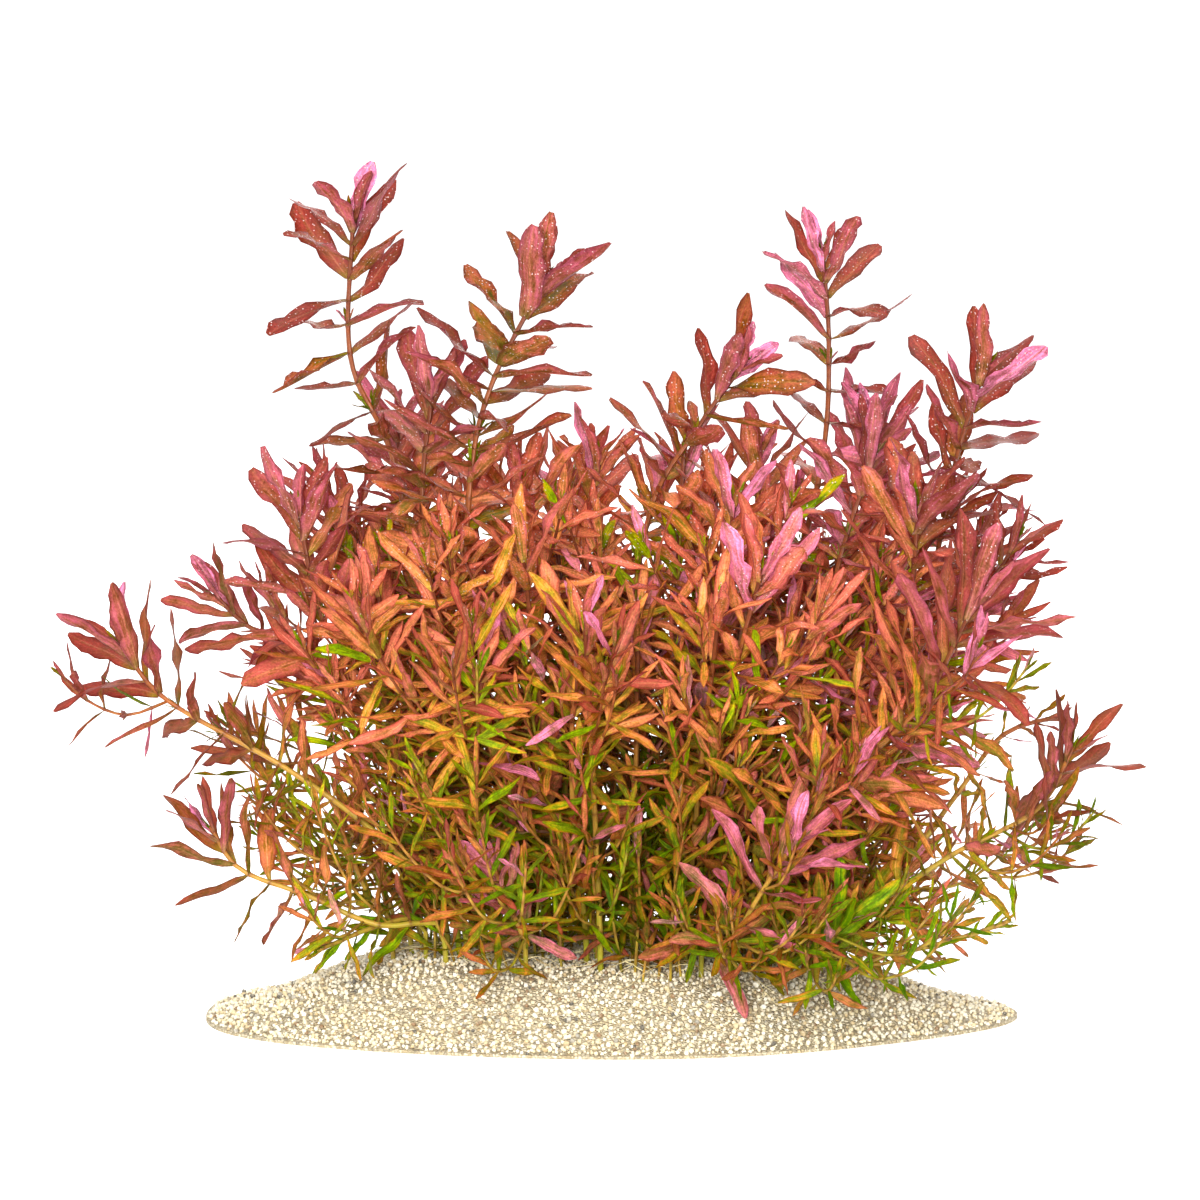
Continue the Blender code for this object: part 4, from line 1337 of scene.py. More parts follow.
@dataclass(frozen=True)
class SprigHabit:
    """How the small shoots at the clump's foot grow."""

    count: int = 140
    tries: int = 1900
    height: tuple = (14.0, 46.0)
    leaf: tuple = (14.0, 22.0)
    thickness: float = 0.6
    spread: float = 1.12  # how far out they stand, as a share of the planted patch
    lean: tuple = (0.1, 0.55)
    sway: float = 3.0
    fresh: float = 0.15  # share of them that are all new growth
    buried: float = 4.0
    ring_spacing: float = 9.0
    clearance: float = 0.4
    bare: float = 3.0

    def grow(self, number: int, planting: Planting, chance: Random) -> Placed:
        """A small rooted shoot, which may still hit something."""
        turn, share = chance.uniform(0, 2 * pi), sqrt(chance.uniform(0.05, 1)) * self.spread
        reach = direction(turn) * share
        root = Vector(planting.planted_centre) + reach * Vector(planting.planted_half)
        foot = Vector((*root, MOUND.surface(*root)))
        height = chance.uniform(*self.height)
        lean = Vector((reach.x, reach.y, 0)) * height * chance.uniform(*self.lean)
        sway = Vector((either_way(self.sway, chance), either_way(self.sway, chance), 0))
        up = Vector((0, 0, height))
        points = [foot - Vector((0, 0, self.buried)), foot]
        points += [foot + lean * 0.4 + sway + up * 0.55, foot + lean + up]
        line = Stem(smooth_curve(points, 5)[::-1], self.buried, self.thickness)
        leaf = chance.uniform(*self.leaf)
        shoot = Shoot(f"sprig_{number}", tuple(root), (), leaf, (), turn, 0.0, Slot.OLIVE)
        return thin_stem(shoot, line, self.buried, self, chance.random() < self.fresh)


TWIGS = TwigHabit()
SPRIGS = SprigHabit()


def thin_stem(shoot: Shoot, stem: Stem, covered: float, habit: Union[TwigHabit, SprigHabit],
              fresh: bool) -> Placed:
    """A side shoot or sprig with the space that it takes, apart from its covered end."""
    open_length = stem.length - covered
    count = max(2, round(open_length / habit.ring_spacing))
    rings = [(open_length * (1 - i / count), 0.0) for i in range(count + 1)]
    return Placed(shoot, stem, stem.tube_tree(rings, habit.clearance), bare=habit.bare, fresh=fresh)


# Leaves and stems as meshes


class BladeShape:
    """A leaf blade: a thin lens-like body with a folded midrib and wavy margins."""

    outline_at = (0.0, 0.05, 0.14, 0.27, 0.42, 0.58, 0.74, 0.87, 0.95, 1.0)
    pointed = (0.34, 0.4, 0.6, 0.85, 0.98, 1.0, 0.9, 0.7, 0.44, 0.12)
    blunt = (0.34, 0.5, 0.74, 0.9, 0.97, 1.0, 0.99, 0.92, 0.72, 0.3)
    low_breadth = 0.84  # how broad the leaves low in the clump are
    broadening = (80.0, 190.0)  # heights between which the leaves get broader
    high_breadth = 0.32  # how much broader the highest ones are
    inset = 0.5  # of the foot into the stem, in millimetres
    thickness = 0.3
    rib_depth = 0.3
    full_length = 20.0  # from which on it has its full thickness
    # What varies from leaf to leaf, as shares of its length unless named otherwise
    sway = 0.09  # of its tip to a side
    snake = 0.025
    dip = 0.03  # of its midrib, up and down
    dips = (4.5, 7.5)  # in radians over the leaf
    twist = 1.3  # of its tip, in radians
    bluntness = (0.85, 1.4)  # the most of it, and the power that keeps most leaves pointed
    waves = (1.6, 2.8)  # along a margin
    wave_height = (0.014, 0.042)
    fold = (-0.12, 0.42)  # of the blade's halves, as a slope
    uneven = (0.1, 0.05)  # how much its outline strays, coarsely and finely

    def __init__(self, across: int, along: int, breadth: tuple[float, float]):
        """Makes the flat blade.

        Args:
            across, along: how many faces it has each way.
            breadth: the least and greatest width, as shares of the solids' leaves'.
        """
        self.breadth = breadth
        bm = bmesh.new()
        bmesh.ops.create_grid(bm, x_segments=across, y_segments=along, size=1.0)
        upper = bm.verts[:]
        rim = {vert for vert in upper if vert.is_boundary}
        made = bmesh.ops.duplicate(bm, geom=bm.faces[:])["geom"]
        under_faces = [item for item in made if isinstance(item, BMFace)]
        under = {vert for face in under_faces for vert in face.verts}
        bmesh.ops.reverse_faces(bm, faces=under_faces)
        for vert in upper:
            vert.co.z = 0.0 if vert in rim else 1.0
        for vert in under:
            vert.co.z = 0.0 if vert.is_boundary else -1.0
        bmesh.ops.remove_doubles(bm, verts=bm.verts, dist=1e-4)
        self.template = Template.of(bm)
        points = self.template.points
        self.u, self.v, self.side = points[:, 0], (points[:, 1] + 1) / 2, points[:, 2]
        self.is_margin = np.abs(self.side) < 0.5
        uv = np.stack(((self.u + 1) / 2, self.v), axis=1)
        self.uv = uv[self.template.corners]
        lowest = np.minimum.reduceat(self.side[self.template.corners], self.template.starts)
        self.is_under = np.repeat(lowest < -0.5, self.template.sizes)
        self.pointed_width = np.interp(self.v, self.outline_at, self.pointed)
        self.blunt_width = np.interp(self.v, self.outline_at, self.blunt)

    def bent(self, leaf: Leaf, chance: Random) -> Array:
        """The blade's points when it is bent as this leaf grows.

        Args:
            leaf: where it springs from and how it bends and turns.
            chance: draws its waves and fold.

        Returns:
            The points in millimetres.
        """
        u, v, side = self.u, self.v, self.side
        along, outward = np.array(leaf.along), np.array(leaf.outward)
        chord = leaf.angle + leaf.recurve * v / 2
        toward = np.outer(np.cos(chord), along) + np.outer(np.sin(chord), outward)
        turned = np.outer(-np.sin(chord), along) + np.outer(np.cos(chord), outward)
        tangent = toward + turned * (v * leaf.recurve / 2)[:, None]
        tangent /= np.linalg.norm(tangent, axis=1, keepdims=True)
        level = np.array(leaf.along.cross(leaf.outward))
        sway = either_way(self.sway, chance) * v**2
        sway += either_way(self.snake, chance) * np.sin(2 * np.pi * v)
        dip = either_way(self.dip, chance) * np.sin(chance.uniform(*self.dips) * v)
        dip = dip * np.clip(v * 3, 0, 1)
        centre = np.array(leaf.base) + toward * (leaf.length * v)[:, None]
        centre -= tangent * (self.inset * (1 - v) ** 4)[:, None]
        centre += level * (leaf.length * sway)[:, None] + turned * (leaf.length * dip)[:, None]
        ease = np.clip(v / HABIT.widest_at, 0, 1)
        roll = leaf.roll * ease * ease * (3 - 2 * ease)
        roll += either_way(self.twist, chance) * np.clip(v - HABIT.widest_at, 0, 1)
        across = level * np.cos(roll)[:, None] + np.cross(tangent, level) * np.sin(roll)[:, None]
        most, power = self.bluntness
        bluntness = chance.uniform(0, most) ** power
        width = self.pointed_width * (1 - bluntness) + self.blunt_width * bluntness
        broad = self.low_breadth + self.high_breadth * between(leaf.base.z, *self.broadening)
        half = leaf.length * HABIT.leaf_width / 2 * width * broad * chance.uniform(*self.breadth)
        phases = np.where(u < 0, chance.uniform(0, 1), chance.uniform(0, 1))
        waves = chance.uniform(*self.waves)
        envelope = np.sin(np.pi * np.clip(v, 0.02, 0.98)) ** 0.7 * np.abs(u) ** 1.5
        wave = np.sin(2 * np.pi * (waves * v + phases)) * envelope
        wave *= leaf.length * chance.uniform(*self.wave_height)
        coarse, fine = self.uneven
        uneven = coarse * np.sin(2 * np.pi * (waves * 1.37 * v + phases * 3 + 0.3))
        uneven += fine * np.sin(2 * np.pi * (5.3 * v + phases * 5))
        half = half * (1 + np.abs(u) * uneven)
        fold = chance.uniform(*self.fold) * np.abs(u) * half
        size = min(1.0, leaf.length / self.full_length)
        body = side * (self.thickness / 2) * size
        rib = self.rib_depth * size * np.clip(1 - np.abs(u) * 4, 0, 1) * (1 - 0.7 * v)
        body -= np.where(side < -0.5, rib, 0)
        up = np.cross(tangent, across)
        return centre + across * (half * u)[:, None] + up * (fold + wave + body)[:, None]


class TubeShape:
    """A stem: a tube along its line that swells at its nodes."""

    swelling = 0.3
    swelling_length = 0.8
    node_half = 0.9  # a fine tube has rings this far above and below its nodes
    fine_sides = 7
    long_gap = 6.0  # between nodes, where a fine tube has one more ring
    bare_step = 7.0  # between the rings below the nodes
    last_gap = 9.0
    tip = 0.3  # radius of the tip, as a share
    heights = (25.0, 135.0)  # between which the stems get redder
    base_red = 0.1
    top_red = 0.45
    tip_red = 0.45
    low_tip = 0.4  # share of the tip's redness that a low stem has
    young_length = 45.0  # over which the tip's redness fades
    fresh_red = 0.2  # share of its redness that a stem of new growth has
    tones = (0.2, 0.8)

    def __init__(self, sides: int):
        """Keeps the number of sides."""
        self.sides = sides
        self.templates: dict[int, Template] = {}

    def template(self, rings: int) -> Template:
        """An upright tube with this many rings, made once."""
        if rings not in self.templates:
            bm = bmesh.new()
            bmesh.ops.create_cone(bm, cap_ends=True, segments=self.sides, radius1=1, radius2=1, depth=2)
            upright = [edge for edge in bm.edges if abs(edge.verts[0].co.z - edge.verts[1].co.z) > 1]
            bmesh.ops.subdivide_edges(bm, edges=upright, cuts=rings - 2, use_grid_fill=True)
            self.templates[rings] = Template.of(bm)
        return self.templates[rings]

    def runs(self, own: Placed) -> list[float]:
        """Distances below the tip of the tube's rings, close together where it swells."""
        stem, fine = own.stem, self.sides >= self.fine_sides
        nodes = stem.node_runs(own.bare)
        runs = [0.0, stem.length]
        for node in nodes:
            runs += [node - self.node_half, node, node + self.node_half] if fine else [node]
        for above, below in zip(nodes, nodes[1:]):
            if below - above > self.long_gap or not fine:
                runs.append((above + below) / 2)
        last = nodes[-1] + self.node_half if nodes else 0.0
        while stem.length - last > self.last_gap:
            last += self.bare_step
            runs.append(min(last, stem.length - 1))
        return sorted(run for run in runs if run >= 0)

    @staticmethod
    def wrapped(template: Template, centres: Array, headings: Array, sides: Array,
                radii: Array) -> tuple[Array, Array, Array]:
        """Bends an upright tube along a line.

        Args:
            template: the tube.
            centres, headings, sides, radii: of its rings.

        Returns:
            Its points, and the ring and the angle of each.
        """
        x, y, z = template.points.T
        ring = np.rint((1 - z) / 2 * (len(centres) - 1)).astype(int)
        angle = np.arctan2(y, x)
        others = np.cross(headings, sides)
        spokes = sides[ring] * np.cos(angle)[:, None] + others[ring] * np.sin(angle)[:, None]
        return centres[ring] + spokes * radii[ring][:, None], ring, angle

    def add_to(self, stock: MeshStock, own: Placed, skin: int) -> None:
        """Adds a shoot's stem to the stock."""
        stem = own.stem
        runs = np.array(self.runs(own))
        template = self.template(len(runs))
        centres, headings, sides = (np.array(part) for part in zip(*(stem.at(run) for run in runs)))
        nodes = np.array(stem.node_runs(own.bare) or [0.0])
        gaps = np.abs(runs[:, None] - nodes).min(axis=1)
        joints = np.exp(-((gaps / self.swelling_length) ** 2))
        radii = np.array([stem.radius(run) for run in runs]) * (1 + self.swelling * joints)
        radii[0] *= self.tip
        points, ring, angle = self.wrapped(template, centres, headings, sides, radii)
        uv = np.stack((angle / (2 * pi) + 0.5, runs[ring] / 10), axis=1)[template.corners]
        high = np.repeat(np.maximum.reduceat(uv[:, 0], template.starts), template.sizes)
        uv[:, 0] += np.where(high - uv[:, 0] > 0.5, 1.0, 0.0)
        low, high = self.heights
        heights = np.clip((centres[:, 2] - low) / (high - low), 0, 1)
        red = self.base_red + self.top_red * heights
        red += self.tip_red * np.exp(-runs / self.young_length) * (self.low_tip + (1 - self.low_tip) * heights)
        red = np.clip(red, 0, 1) * (self.fresh_red if own.fresh else 1.0)
        tone = Random(own.shoot.name + " tone").uniform(*self.tones)
        tint = np.stack((red, np.full(len(runs), tone), joints, np.zeros(len(runs))), axis=1)
        stock.add(points, template, uv, tint[ring][template.corners], skin)


@dataclass(frozen=True)
class Colouring:
    """How red, pink and speckled the leaves are, and how much painted fill light they get, by where they grow.
    """

    heights: tuple = (20.0, 162.0)  # between which the leaves get redder
    base_red: float = 0.2
    top_red: float = 0.53
    tip_red: float = 0.2
    green_share: float = 0.07  # how many leaves below the crown stay green
    fresh_red: float = 0.08
    fresh_spread: float = 0.1
    low_spread: float = 0.26  # how much their redness varies from leaf to leaf
    high_spread: float = 0.14
    green_gain: float = 0.3  # of the redness that the green shoots have of it
    young_pairs: float = 3.5  # over which a young leaf's redness fades
    outer_red: float = 0.86  # least redness of an outer shoot's youngest leaves
    outer_fade: float = 0.06  # of that redness from pair to pair
    left_red: float = 0.22  # how much redder the left side is
    right_red: float = 0.19
    left: tuple = (45.0, 90.0)  # how far out that begins and is full
    right: tuple = (20.0, 70.0)
    centre: tuple = (12.0, 8.0, 0.0)
    dome: tuple = (125.0, 98.0, 188.0)  # half sizes and height of the clump, for how far inside it a leaf is, which sets its painted fill light
    open: float = 1.02  # share of the dome's radius beyond which the leaves stand in full light and get no painted fill light
    # within this share of the dome's radius a leaf gets the whole painted fill light
    deep_shade: float = 0.76
    painted_fill_share: float = 0.86  # share of the tone that is painted fill light, which makes the leaves in the clump's shade brighter
    painted_shade_heart: float = 106.0  # radius of the dark core above the gravel's middle, where the leaves get little painted fill light: painted shade
    heart_gain: float = 0.15  # share of the painted fill light that the shaded leaves keep there
    crown_pairs: int = 2  # the young pairs of an outer shoot whose upper sides may be pink
    crown_pink: float = 0.28  # how many of them are
    crown_pinkness: tuple = (0.6, 1.0)
    pink_shoots: tuple = (
        ("front_small", 0.7), ("front_rose", 0.6), ("mid_left", 0.22), ("right_inner", 0.2),
        ("upper_left", 0.1), ("back_left", 0.45), ("back_right", 0.45), ("big_right", 0.1),
        ("middle_left", 0.2),
    )
    pinkness: tuple = (0.2, 1.2)  # of one of their leaves, as shares of the shoot's
    old_pink: float = 0.3  # share of it that old leaves keep
    stray_pink: tuple = (0.02, 0.12)  # how many other leaves are pink, and how many more at the top right
    stray_across: tuple = (-60.0, 60.0)
    stray_pinkness: tuple = (0.3, 0.75)
    speckled: tuple = (90.0, 150.0)  # heights between which specks set in
    specks: tuple = (0.45, 1.05)

    def tint(self, own: Placed, number: float, leaf: Leaf, chance: Random) -> tuple:
        """How one leaf is coloured.

        Args:
            own: its shoot.
            number: of its pair from the tip down, below 0 for buds.
            leaf: the leaf.
            chance: draws what varies from leaf to leaf.

        Returns:
            Redness, tone with its painted fill light, pinkness of the upper side, and specks.
        """
        height = between(leaf.base.z, *self.heights)
        youth = exp(-max(number, 0) / self.young_pairs)
        red = self.redness(own, number, leaf, height, youth, chance)
        pink = dict(self.pink_shoots).get(own.shoot.name, 0.0) * chance.uniform(*self.pinkness)
        pink *= self.old_pink + (1 - self.old_pink) * youth
        few, more = self.stray_pink
        if chance.random() < few + more * height * between(leaf.base.x, *self.stray_across):
            pink = max(pink, chance.uniform(*self.stray_pinkness))
        specks = between(leaf.base.z, *self.speckled) * chance.uniform(*self.specks)
        # Painted fill light: the tone, and so the colour's brightness, rises with the clump's shade on the
        # leaf, plus a random part
        tone = self.shade(leaf) * self.painted_fill_share + chance.uniform(0, 1 - self.painted_fill_share)
        return min(1.0, max(0.0, red)), tone, pink, specks

    def redness(self, own: Placed, number: float, leaf: Leaf, height: float, youth: float,
                chance: Random) -> float:
        """How red a leaf is: redder the higher, the younger and the further out it grows."""
        red = self.base_red + self.top_red * height + self.tip_red * youth
        if own.shoot.slot is Slot.GREEN:
            red *= self.green_gain
        elif own.shoot.outer:
            red = max(red, self.outer_red - max(number, 0) * self.outer_fade)
        red += chance.gauss(0, self.low_spread + (self.high_spread - self.low_spread) * height)
        red += self.right_red * between(leaf.base.x, *self.right)
        red += self.left_red * between(-leaf.base.x, *self.left)
        stays_green = chance.random() < self.green_share * (1 - height**3) and not own.shoot.outer
        if number < 0 or own.fresh or stays_green:
            red = chance.gauss(self.fresh_red, self.fresh_spread)
        return red

    def shade(self, leaf: Leaf) -> float:
        """How much painted fill light a leaf gets for its place in the clump's shade, kept low in the dark
        core as painted shade.
        """
        shares = ((p - c) / half for p, c, half in zip(leaf.point(0.6), self.centre, self.dome))
        radius = sum(share**4 for share in shares) ** 0.25
        painted_shade_heart = between(hypot(leaf.base.x - 5, leaf.base.z) / self.painted_shade_heart, 0.3, 1.3)
        shaded = between(-radius, -self.open, -self.deep_shade)
        return shaded * (self.heart_gain + (1 - self.heart_gain) * painted_shade_heart)


@dataclass
class Foliage:
    """The leafy shoots, one piece each, with their side shoots."""

    clump: Clump
    fine: BladeShape = field(default_factory=lambda: BladeShape(4, 10, (0.86, 1.16)))
    plain: BladeShape = field(default_factory=lambda: BladeShape(4, 6, (0.66, 0.92)))
    small: BladeShape = field(default_factory=lambda: BladeShape(2, 5, (0.64, 0.92)))
    stem: TubeShape = field(default_factory=lambda: TubeShape(8))
    twig: TubeShape = field(default_factory=lambda: TubeShape(5))
    colouring: Colouring = field(default_factory=Colouring)
    buds: tuple = ((1.3, 0.24, 16.0), (0.5, 0.14, 9.0))  # distance below the tip, length of a leaf's, angle
    axil_nodes: int = 5  # the first node with buds above its leaves
    axil_share: float = 0.2
    axil_length: tuple = (4.0, 8.0)
    axil_angles: tuple = (16.0, 46.0)
    axil_gap: float = 0.8  # how far above a node they spring
    small_below: float = 20.0  # length of a leaf
    fine_pairs: int = 14  # of an outer shoot
    finishes: tuple = (  # with the display colour of the light that comes through
        (Slot.COPPER, "copper_leaf", (212, 96, 20)), (Slot.ROSE, "rose_leaf", (222, 94, 62)),
        (Slot.OLIVE, "olive_leaf", (200, 142, 4)), (Slot.GREEN, "green_leaf", (160, 184, 2)),
    )
    under_pink: float = 0.15
    under_red: float = 0.85  # of the upper side's redness

    def make_materials(self) -> None:
        """Makes the finishes."""
        self.stem_material = StemFinish("rotala_stem").material()
        self.leaf_materials = {
            slot: LeafFinish(name, srgb(*through)).material() for slot, name, through in self.finishes}

    def add_leaf(self, stock: MeshStock, own: Placed, number: float, leaf: Leaf, name: str) -> None:
        """Adds one leaf to the stock."""
        chance = Random(name)
        shape = self.small if leaf.length < self.small_below else self.plain
        if own.shoot.outer and 0 <= number < self.fine_pairs:
            shape = self.fine
        *top, specks = self.colouring.tint(own, number, leaf, chance)
        points = shape.bent(leaf, chance)
        tint = np.tile(np.array([*top, specks]), (len(shape.uv), 1))
        tint[shape.is_under, 2] += self.under_pink * top[0]
        tint[shape.is_under, 0] *= self.under_red
        if own.shoot.outer and 0 <= number < self.colouring.crown_pairs:
            if chance.random() < self.colouring.crown_pink:
                tint[~shape.is_under, 2] = chance.uniform(*self.colouring.crown_pinkness)
        stock.add(points, shape.template, shape.uv, tint, 0, shape.is_margin)

    def axil_leaves(self, own: Placed) -> Iterable[tuple[str, Leaf]]:
        """Fresh green leaflets above some of a stem's older leaves, with their names."""
        chance = Random(own.shoot.name + " axils")
        for number, run in enumerate(own.stem.node_runs(own.bare)):
            if number < self.axil_nodes or chance.random() > self.axil_share:
                continue
            size = chance.uniform(*self.axil_length)
            for half in range(2):
                turn = radians(90 * (number % 2) + 180 * half)
                for angle in self.axil_angles:
                    lean, length = angle + either_way(9, chance), size * chance.uniform(0.75, 1.1)
                    leaf = self.bud(own, run, turn, lean, length, recurve=0.2, above=self.axil_gap)
                    yield f"axil {number} {half} {angle}", leaf

    def tip_leaves(self, own: Placed) -> Iterable[tuple[str, Leaf]]:
        """The folded youngest leaves at a stem's tip, with their names."""
        for level, (run, share, angle) in enumerate(self.buds):
            for half in range(2):
                turn, length = radians(90 * level + 180 * half), own.shoot.leaf * share
                yield f"bud {level} {half}", self.bud(own, run, turn, angle, length, recurve=0.1, out=0.6)

    @staticmethod
    def bud(own: Placed, run: float, turn: float, angle: float, length: float, recurve: float,
            above: float = 0.0, out: float = 1.0) -> Leaf:
        """A leaflet that springs this far above its node, and this share of the stem's radius out."""
        centre, heading, outward = own.stem.sprout(run - above, own.shoot.turn + turn)
        radius = own.stem.radius(run)
        base = centre + outward * radius * out
        return Leaf(base, heading, outward, outward, radians(angle), recurve, 0.0, length, radius)

    def piece(self, name: str, shoots: Sequence[tuple[Placed, TubeShape]], slot: Slot) -> Object:
        """One object of shoots, with their leaves, their buds and these tubes for their stems."""
        stock = MeshStock()
        for own, tube in shoots:
            tube.add_to(stock, own, 1)
            for place, (number, leaf) in enumerate(own.leaves):
                self.add_leaf(stock, own, number, leaf, f"{own.shoot.name} leaf {place}")
            for bud_name, leaf in (*self.axil_leaves(own), *self.tip_leaves(own)):
                self.add_leaf(stock, own, -1, leaf, f"{own.shoot.name} {bud_name}")
        return stock.made(name, (self.leaf_materials[slot], self.stem_material))

    def build(self) -> list[Object]:
        """Makes every shoot's piece, and one of the sprigs."""
        self.make_materials()
        pieces = []
        for own in self.clump.shoots:
            name, slot = own.shoot.name, own.shoot.slot
            shoots = [(own, self.stem), *((twig, self.twig) for twig in own.twigs)]
            pieces.append(slot.given_to(self.piece(f"leafy_{name}", shoots, slot), f"shoot_{name}"))
        sprigs = [(own, self.twig) for own in self.clump.sprigs]
        return [*pieces, Slot.OLIVE.given_to(self.piece("low_sprigs", sprigs, Slot.OLIVE))]


# Gravel and roots


@dataclass
class GravelBed:
    """The mound: packed gravel with loose grains on it."""

    segments: int = 112
    rings: int = 18
    under_grains: float = 0.5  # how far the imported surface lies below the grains
    grains: int = 9400
    grain_size: tuple = (0.42, 1.0)  # radii
    big_grains: tuple = (0.1, 1.3)  # their share, and how much bigger they are
    wear: tuple = (0.78, 1.15)  # how far out a grain's corners are
    flatness: tuple = (0.7, 1.0)  # shares of a grain's greatest radius
    lowest: float = 0.7  # height of a grain's middle, in radii
    brightness: tuple = (0.9, 1.12)
    variants: int = 24
    rim: float = 0.994  # the packed gravel's radius, as a share of the mound's
    reach: float = 0.985  # and the loose grains'
    least_height: float = 0.3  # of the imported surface
    scatter: float = 0.6
    rise: tuple = (-0.5, 0.35)  # of a grain's middle over the mound's surface
    tones: tuple = (  # with their shares
        (0.34, srgb(220, 211, 186)), (0.22, srgb(213, 200, 166)), (0.13, srgb(208, 191, 150)),
        (0.18, srgb(228, 222, 202)), (0.06, srgb(186, 164, 122)), (0.04, srgb(158, 152, 138)),
        (0.03, srgb(134, 105, 72)), (0.02, srgb(88, 82, 72)),
    )

    def packed(self) -> Object:
        """The packed gravel, flat underneath."""
        bm = bmesh.new()
        circle = bmesh.ops.create_circle(bm, cap_ends=True, segments=self.segments, radius=1)
        end = circle["verts"][0].link_faces[0]
        self.set_ring(end, 1.0, flat=True)
        for ring in range(self.rings):
            end = bmesh.ops.extrude_discrete_faces(bm, faces=[end])["faces"][0]
            self.set_ring(end, 1 - ring / self.rings, flat=False)
        middle = bmesh.ops.poke(bm, faces=[end])["verts"][0]
        middle.co = (0, 0, MOUND.surface(0, 0) - self.under_grains)
        bmesh.ops.holes_fill(bm, edges=bm.edges, sides=self.segments)
        bmesh.ops.recalc_face_normals(bm, faces=bm.faces)
        bmesh.ops.scale(bm, vec=(MM, MM, MM), verts=bm.verts)
        return Slot.GRAVEL.given_to(object_of("packed_gravel", bm, BedFinish().material()), "gravel_bed")

    def set_ring(self, face: BMFace, share: float, flat: bool) -> None:
        """Places a ring's corners at this share of the radius, on the underside or on the surface."""
        for k, vert in enumerate(face.verts):
            x, y = MOUND.spot(share * self.rim, 2 * pi * k / len(face.verts))
            z = 0.0 if flat else max(self.least_height, MOUND.surface(x, y) - self.under_grains)
            vert.co = (x, y, z)

    def grain_template(self, number: int) -> Template:
        """One of the grains' shapes: a worn, uneven pebble."""
        bm = bmesh.new()
        bmesh.ops.create_icosphere(bm, subdivisions=1, radius=1.0)
        chance = Random(number)
        for vert in bm.verts:
            vert.co *= chance.uniform(*self.wear)
        return Template.of(bm)

    def loose(self) -> Object:
        """The loose grains, half sunk in the packed gravel."""
        templates = [self.grain_template(number) for number in range(self.variants)]
        chance = np.random.default_rng(8)
        stock = MeshStock()
        shares = np.array([share for share, _ in self.tones])
        colours = np.array([colour for _, colour in self.tones])
        shares /= shares.sum()
        big_share, big = self.big_grains
        for number in range(self.grains):
            x, y = MOUND.spot(sqrt((number + 0.5) / self.grains) * self.reach, number * GOLDEN_ANGLE)
            x, y = x + either_way(self.scatter, chance), y + either_way(self.scatter, chance)
            radius = chance.uniform(*self.grain_size) * (1.0 if chance.random() < 1 - big_share else big)
            z = max(MOUND.surface(x, y) + chance.uniform(*self.rise), radius * self.lowest)
            turn, _ = np.linalg.qr(chance.normal(size=(3, 3)))
            if np.linalg.det(turn) < 0:
                turn[:, 0] *= -1
            stretch = radius * chance.uniform(*self.flatness, 3)
            template = templates[number % self.variants]
            points = (template.points * stretch) @ turn.T + (x, y, z)
            points[:, 2] = np.maximum(points[:, 2], 0.0)
            colour = colours[chance.choice(len(colours), p=shares)] * chance.uniform(*self.brightness)
            tint = np.array((*np.clip(colour, 0, 1), 1.0))
            stock.add(points, template, np.zeros((len(template.corners), 2)), tint, 0)
        piece = stock.made("loose_grains", (GrainFinish().material(),), GRAIN_COLOUR, smooth=False)
        return Slot.GRAVEL.given_to(piece)


@dataclass
class HairRoots:
    """Fine pale roots that spread over the gravel from the feet of the stems."""

    clump: Clump
    to_a_stem: tuple = (1, 3)
    steps: int = 7
    step: tuple = (1.6, 3.2)
    radius: float = 0.16
    taper: float = 0.6
    sides: int = 4
    lift: tuple = (2.0, 6.0)  # above the gravel, where they leave the stem
    wander: float = 0.6  # in radians to a step

    def build(self) -> Object:
        """Makes all of the roots as one piece."""
        template = TubeShape(self.sides).template(self.steps + 1)
        stock = MeshStock()
        for own in [*self.clump.shoots, *self.clump.sprigs]:
            chance = Random(f"roots of {own.shoot.name}")
            foot = Vector((*own.shoot.root, 0))
            for _ in range(chance.randint(*self.to_a_stem)):
                self.add_root(stock, template, foot, chance)
        return Slot.ROOTS.given_to(stock.made("hair_roots", (RootFinish().material(),)))

    def add_root(self, stock: MeshStock, template: Template, foot: Vector, chance: Random) -> None:
        """Adds one wandering root that leaves its stem just above the gravel and ends in it."""
        heading = chance.uniform(0, 2 * pi)
        lift = chance.uniform(*self.lift)
        line = []
        x, y = foot.x, foot.y
        for step in range(self.steps + 1):
            share = step / self.steps
            height = lift * (1 - share) ** 2 * (0.6 + 1.6 * share)
            height += 1.3 * sin(pi * share) - 1.2 * share
            line.append((x, y, MOUND.surface(x, y) + height))
            heading += either_way(self.wander, chance)
            length = chance.uniform(*self.step)
            x, y = x + length * cos(heading), y + length * sin(heading)
        centres = np.array(line)
        headings = np.gradient(centres, axis=0)
        headings /= np.linalg.norm(headings, axis=1, keepdims=True)
        level = np.cross(headings, (0.0, 0.0, 1.0))
        level /= np.maximum(np.linalg.norm(level, axis=1, keepdims=True), 1e-6)
        radii = self.radius * (1 - self.taper * np.arange(self.steps + 1) / self.steps)
        points, _, _ = TubeShape.wrapped(template, centres, headings, level, radii)
        stock.add(points, template, np.zeros((len(template.corners), 2)), np.zeros(4), 0)


# Studio


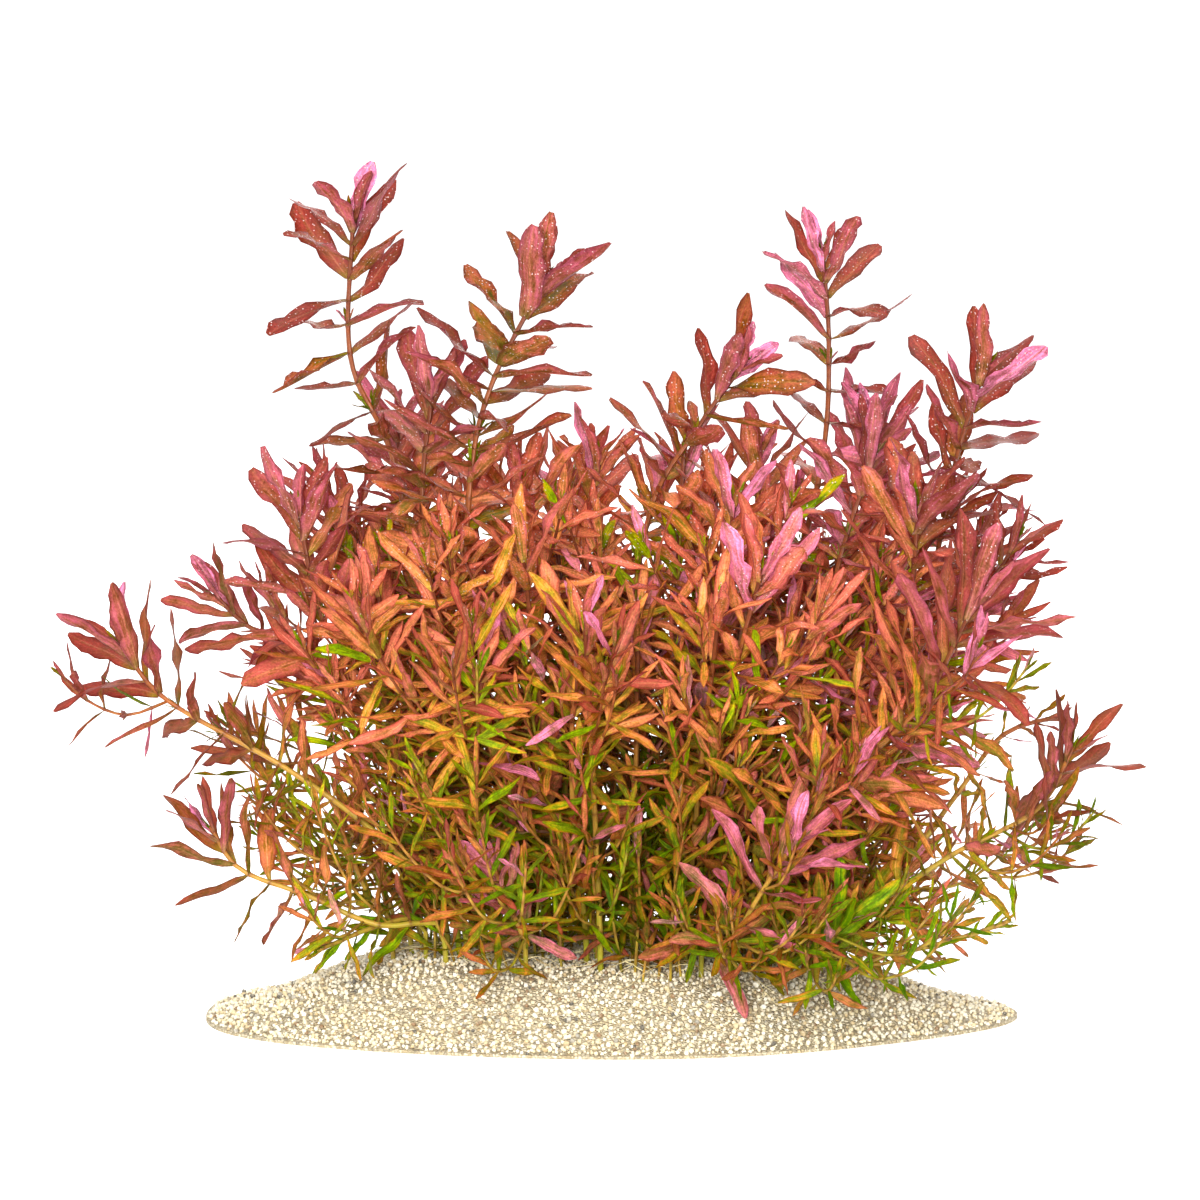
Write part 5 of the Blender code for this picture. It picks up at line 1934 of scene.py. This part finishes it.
@dataclass
class Studio:
    """A white floor, soft lights and the photograph's camera."""

    floor_radius: float = 24.0
    world: float = 0.88
    lamps: tuple = (  # place, size and power
        ("key_light", (-0.6, -1.4, 1.2), 0.45, 14.0),
        ("front_light", (-0.2, -1.9, 0.42), 0.4, 37.0),
        ("fill_light", (0.5, -1.7, 0.5), 0.8, 11.0),
        ("top_light", (0.1, 0.3, 1.6), 0.8, 12.0),
        ("back_light", (0.2, 1.9, 0.8), 0.8, 12.0),
    )
    lamp_target: tuple = (0.0, 0.0, 0.12)
    lens: float = 220.0  # in millimetres, as the sensor
    sensor: float = 36.0
    clip: tuple = (0.05, 20.0)
    target: tuple = (0.0, 0.0, 0.1261)
    distance: float = 2.2
    elevation: float = radians(6)

    def floor(self) -> None:
        """A pale floor that is wide enough to fill the view."""
        bm = bmesh.new()
        bmesh.ops.create_circle(bm, cap_ends=True, segments=96, radius=self.floor_radius)
        object_of("studio_floor", bm, PaperFinish().material())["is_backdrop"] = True

    def light(self) -> None:
        """Square soft lights that face the clump, and the world's even glow."""
        for name, place, size, power in self.lamps:
            light = bpy.data.lights.new(name, "AREA")
            light.size, light.energy = size, power
            self.aim(new_object(name, light), Vector(place), Vector(self.lamp_target))
        world = bpy.data.worlds.new("studio_world")
        world.use_nodes = True
        glow = world.node_tree.nodes["Background"]
        glow.inputs["Color"].default_value = (1, 1, 1, 1)
        glow.inputs["Strength"].default_value = self.world
        bpy.context.scene.world = world
        bpy.context.scene.view_settings.view_transform = "Standard"

    def camera(self) -> None:
        """A long lens a little above the clump."""
        data = bpy.data.cameras.new("photo_camera")
        data.lens, data.sensor_width = self.lens, self.sensor
        data.clip_start, data.clip_end = self.clip
        camera, target = new_object("photo_camera", data), Vector(self.target)
        back = Vector((0, -cos(self.elevation), sin(self.elevation)))
        self.aim(camera, target + back * self.distance, target)
        bpy.context.scene.camera = camera

    @staticmethod
    def aim(made: Object, place: Vector, target: Vector) -> None:
        """Puts a light or camera in its place and turns it to its target."""
        made.location = place
        made.rotation_euler = (target - place).to_track_quat("-Z", "Y").to_euler()


def main() -> None:
    """Builds the clump and its studio."""
    packed_low, packed_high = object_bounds()
    studio = Studio()
    studio.camera()
    studio.light()
    studio.floor()
    clump = Clump(Planting(), Vector(packed_low) / MM, Vector(packed_high) / MM)
    clump.place_stems()
    clump.place_solid_leaves()
    log.info("%d shoots with the %d leaves of their solids", len(clump.shoots), len(clump.spaces.items))
    clump.grow_twigs()
    clump.plant_sprigs()
    log.info("%d stems with side shoots and sprigs", len(clump.stems))
    clump.place_more_leaves()
    log.info("%d leaves in all", len(clump.spaces.items))
    pieces = Foliage(clump).build()
    bed = GravelBed()
    pieces += [bed.packed(), bed.loose(), HairRoots(clump).build()]
    for piece in pieces:
        log.info("%s: %d faces", piece.name, len(piece.data.polygons))
    triangles = sum(len(face.vertices) - 2 for piece in pieces for face in piece.data.polygons)
    log.info("%d triangles in all", triangles)


if __name__ == "__main__":
    main()
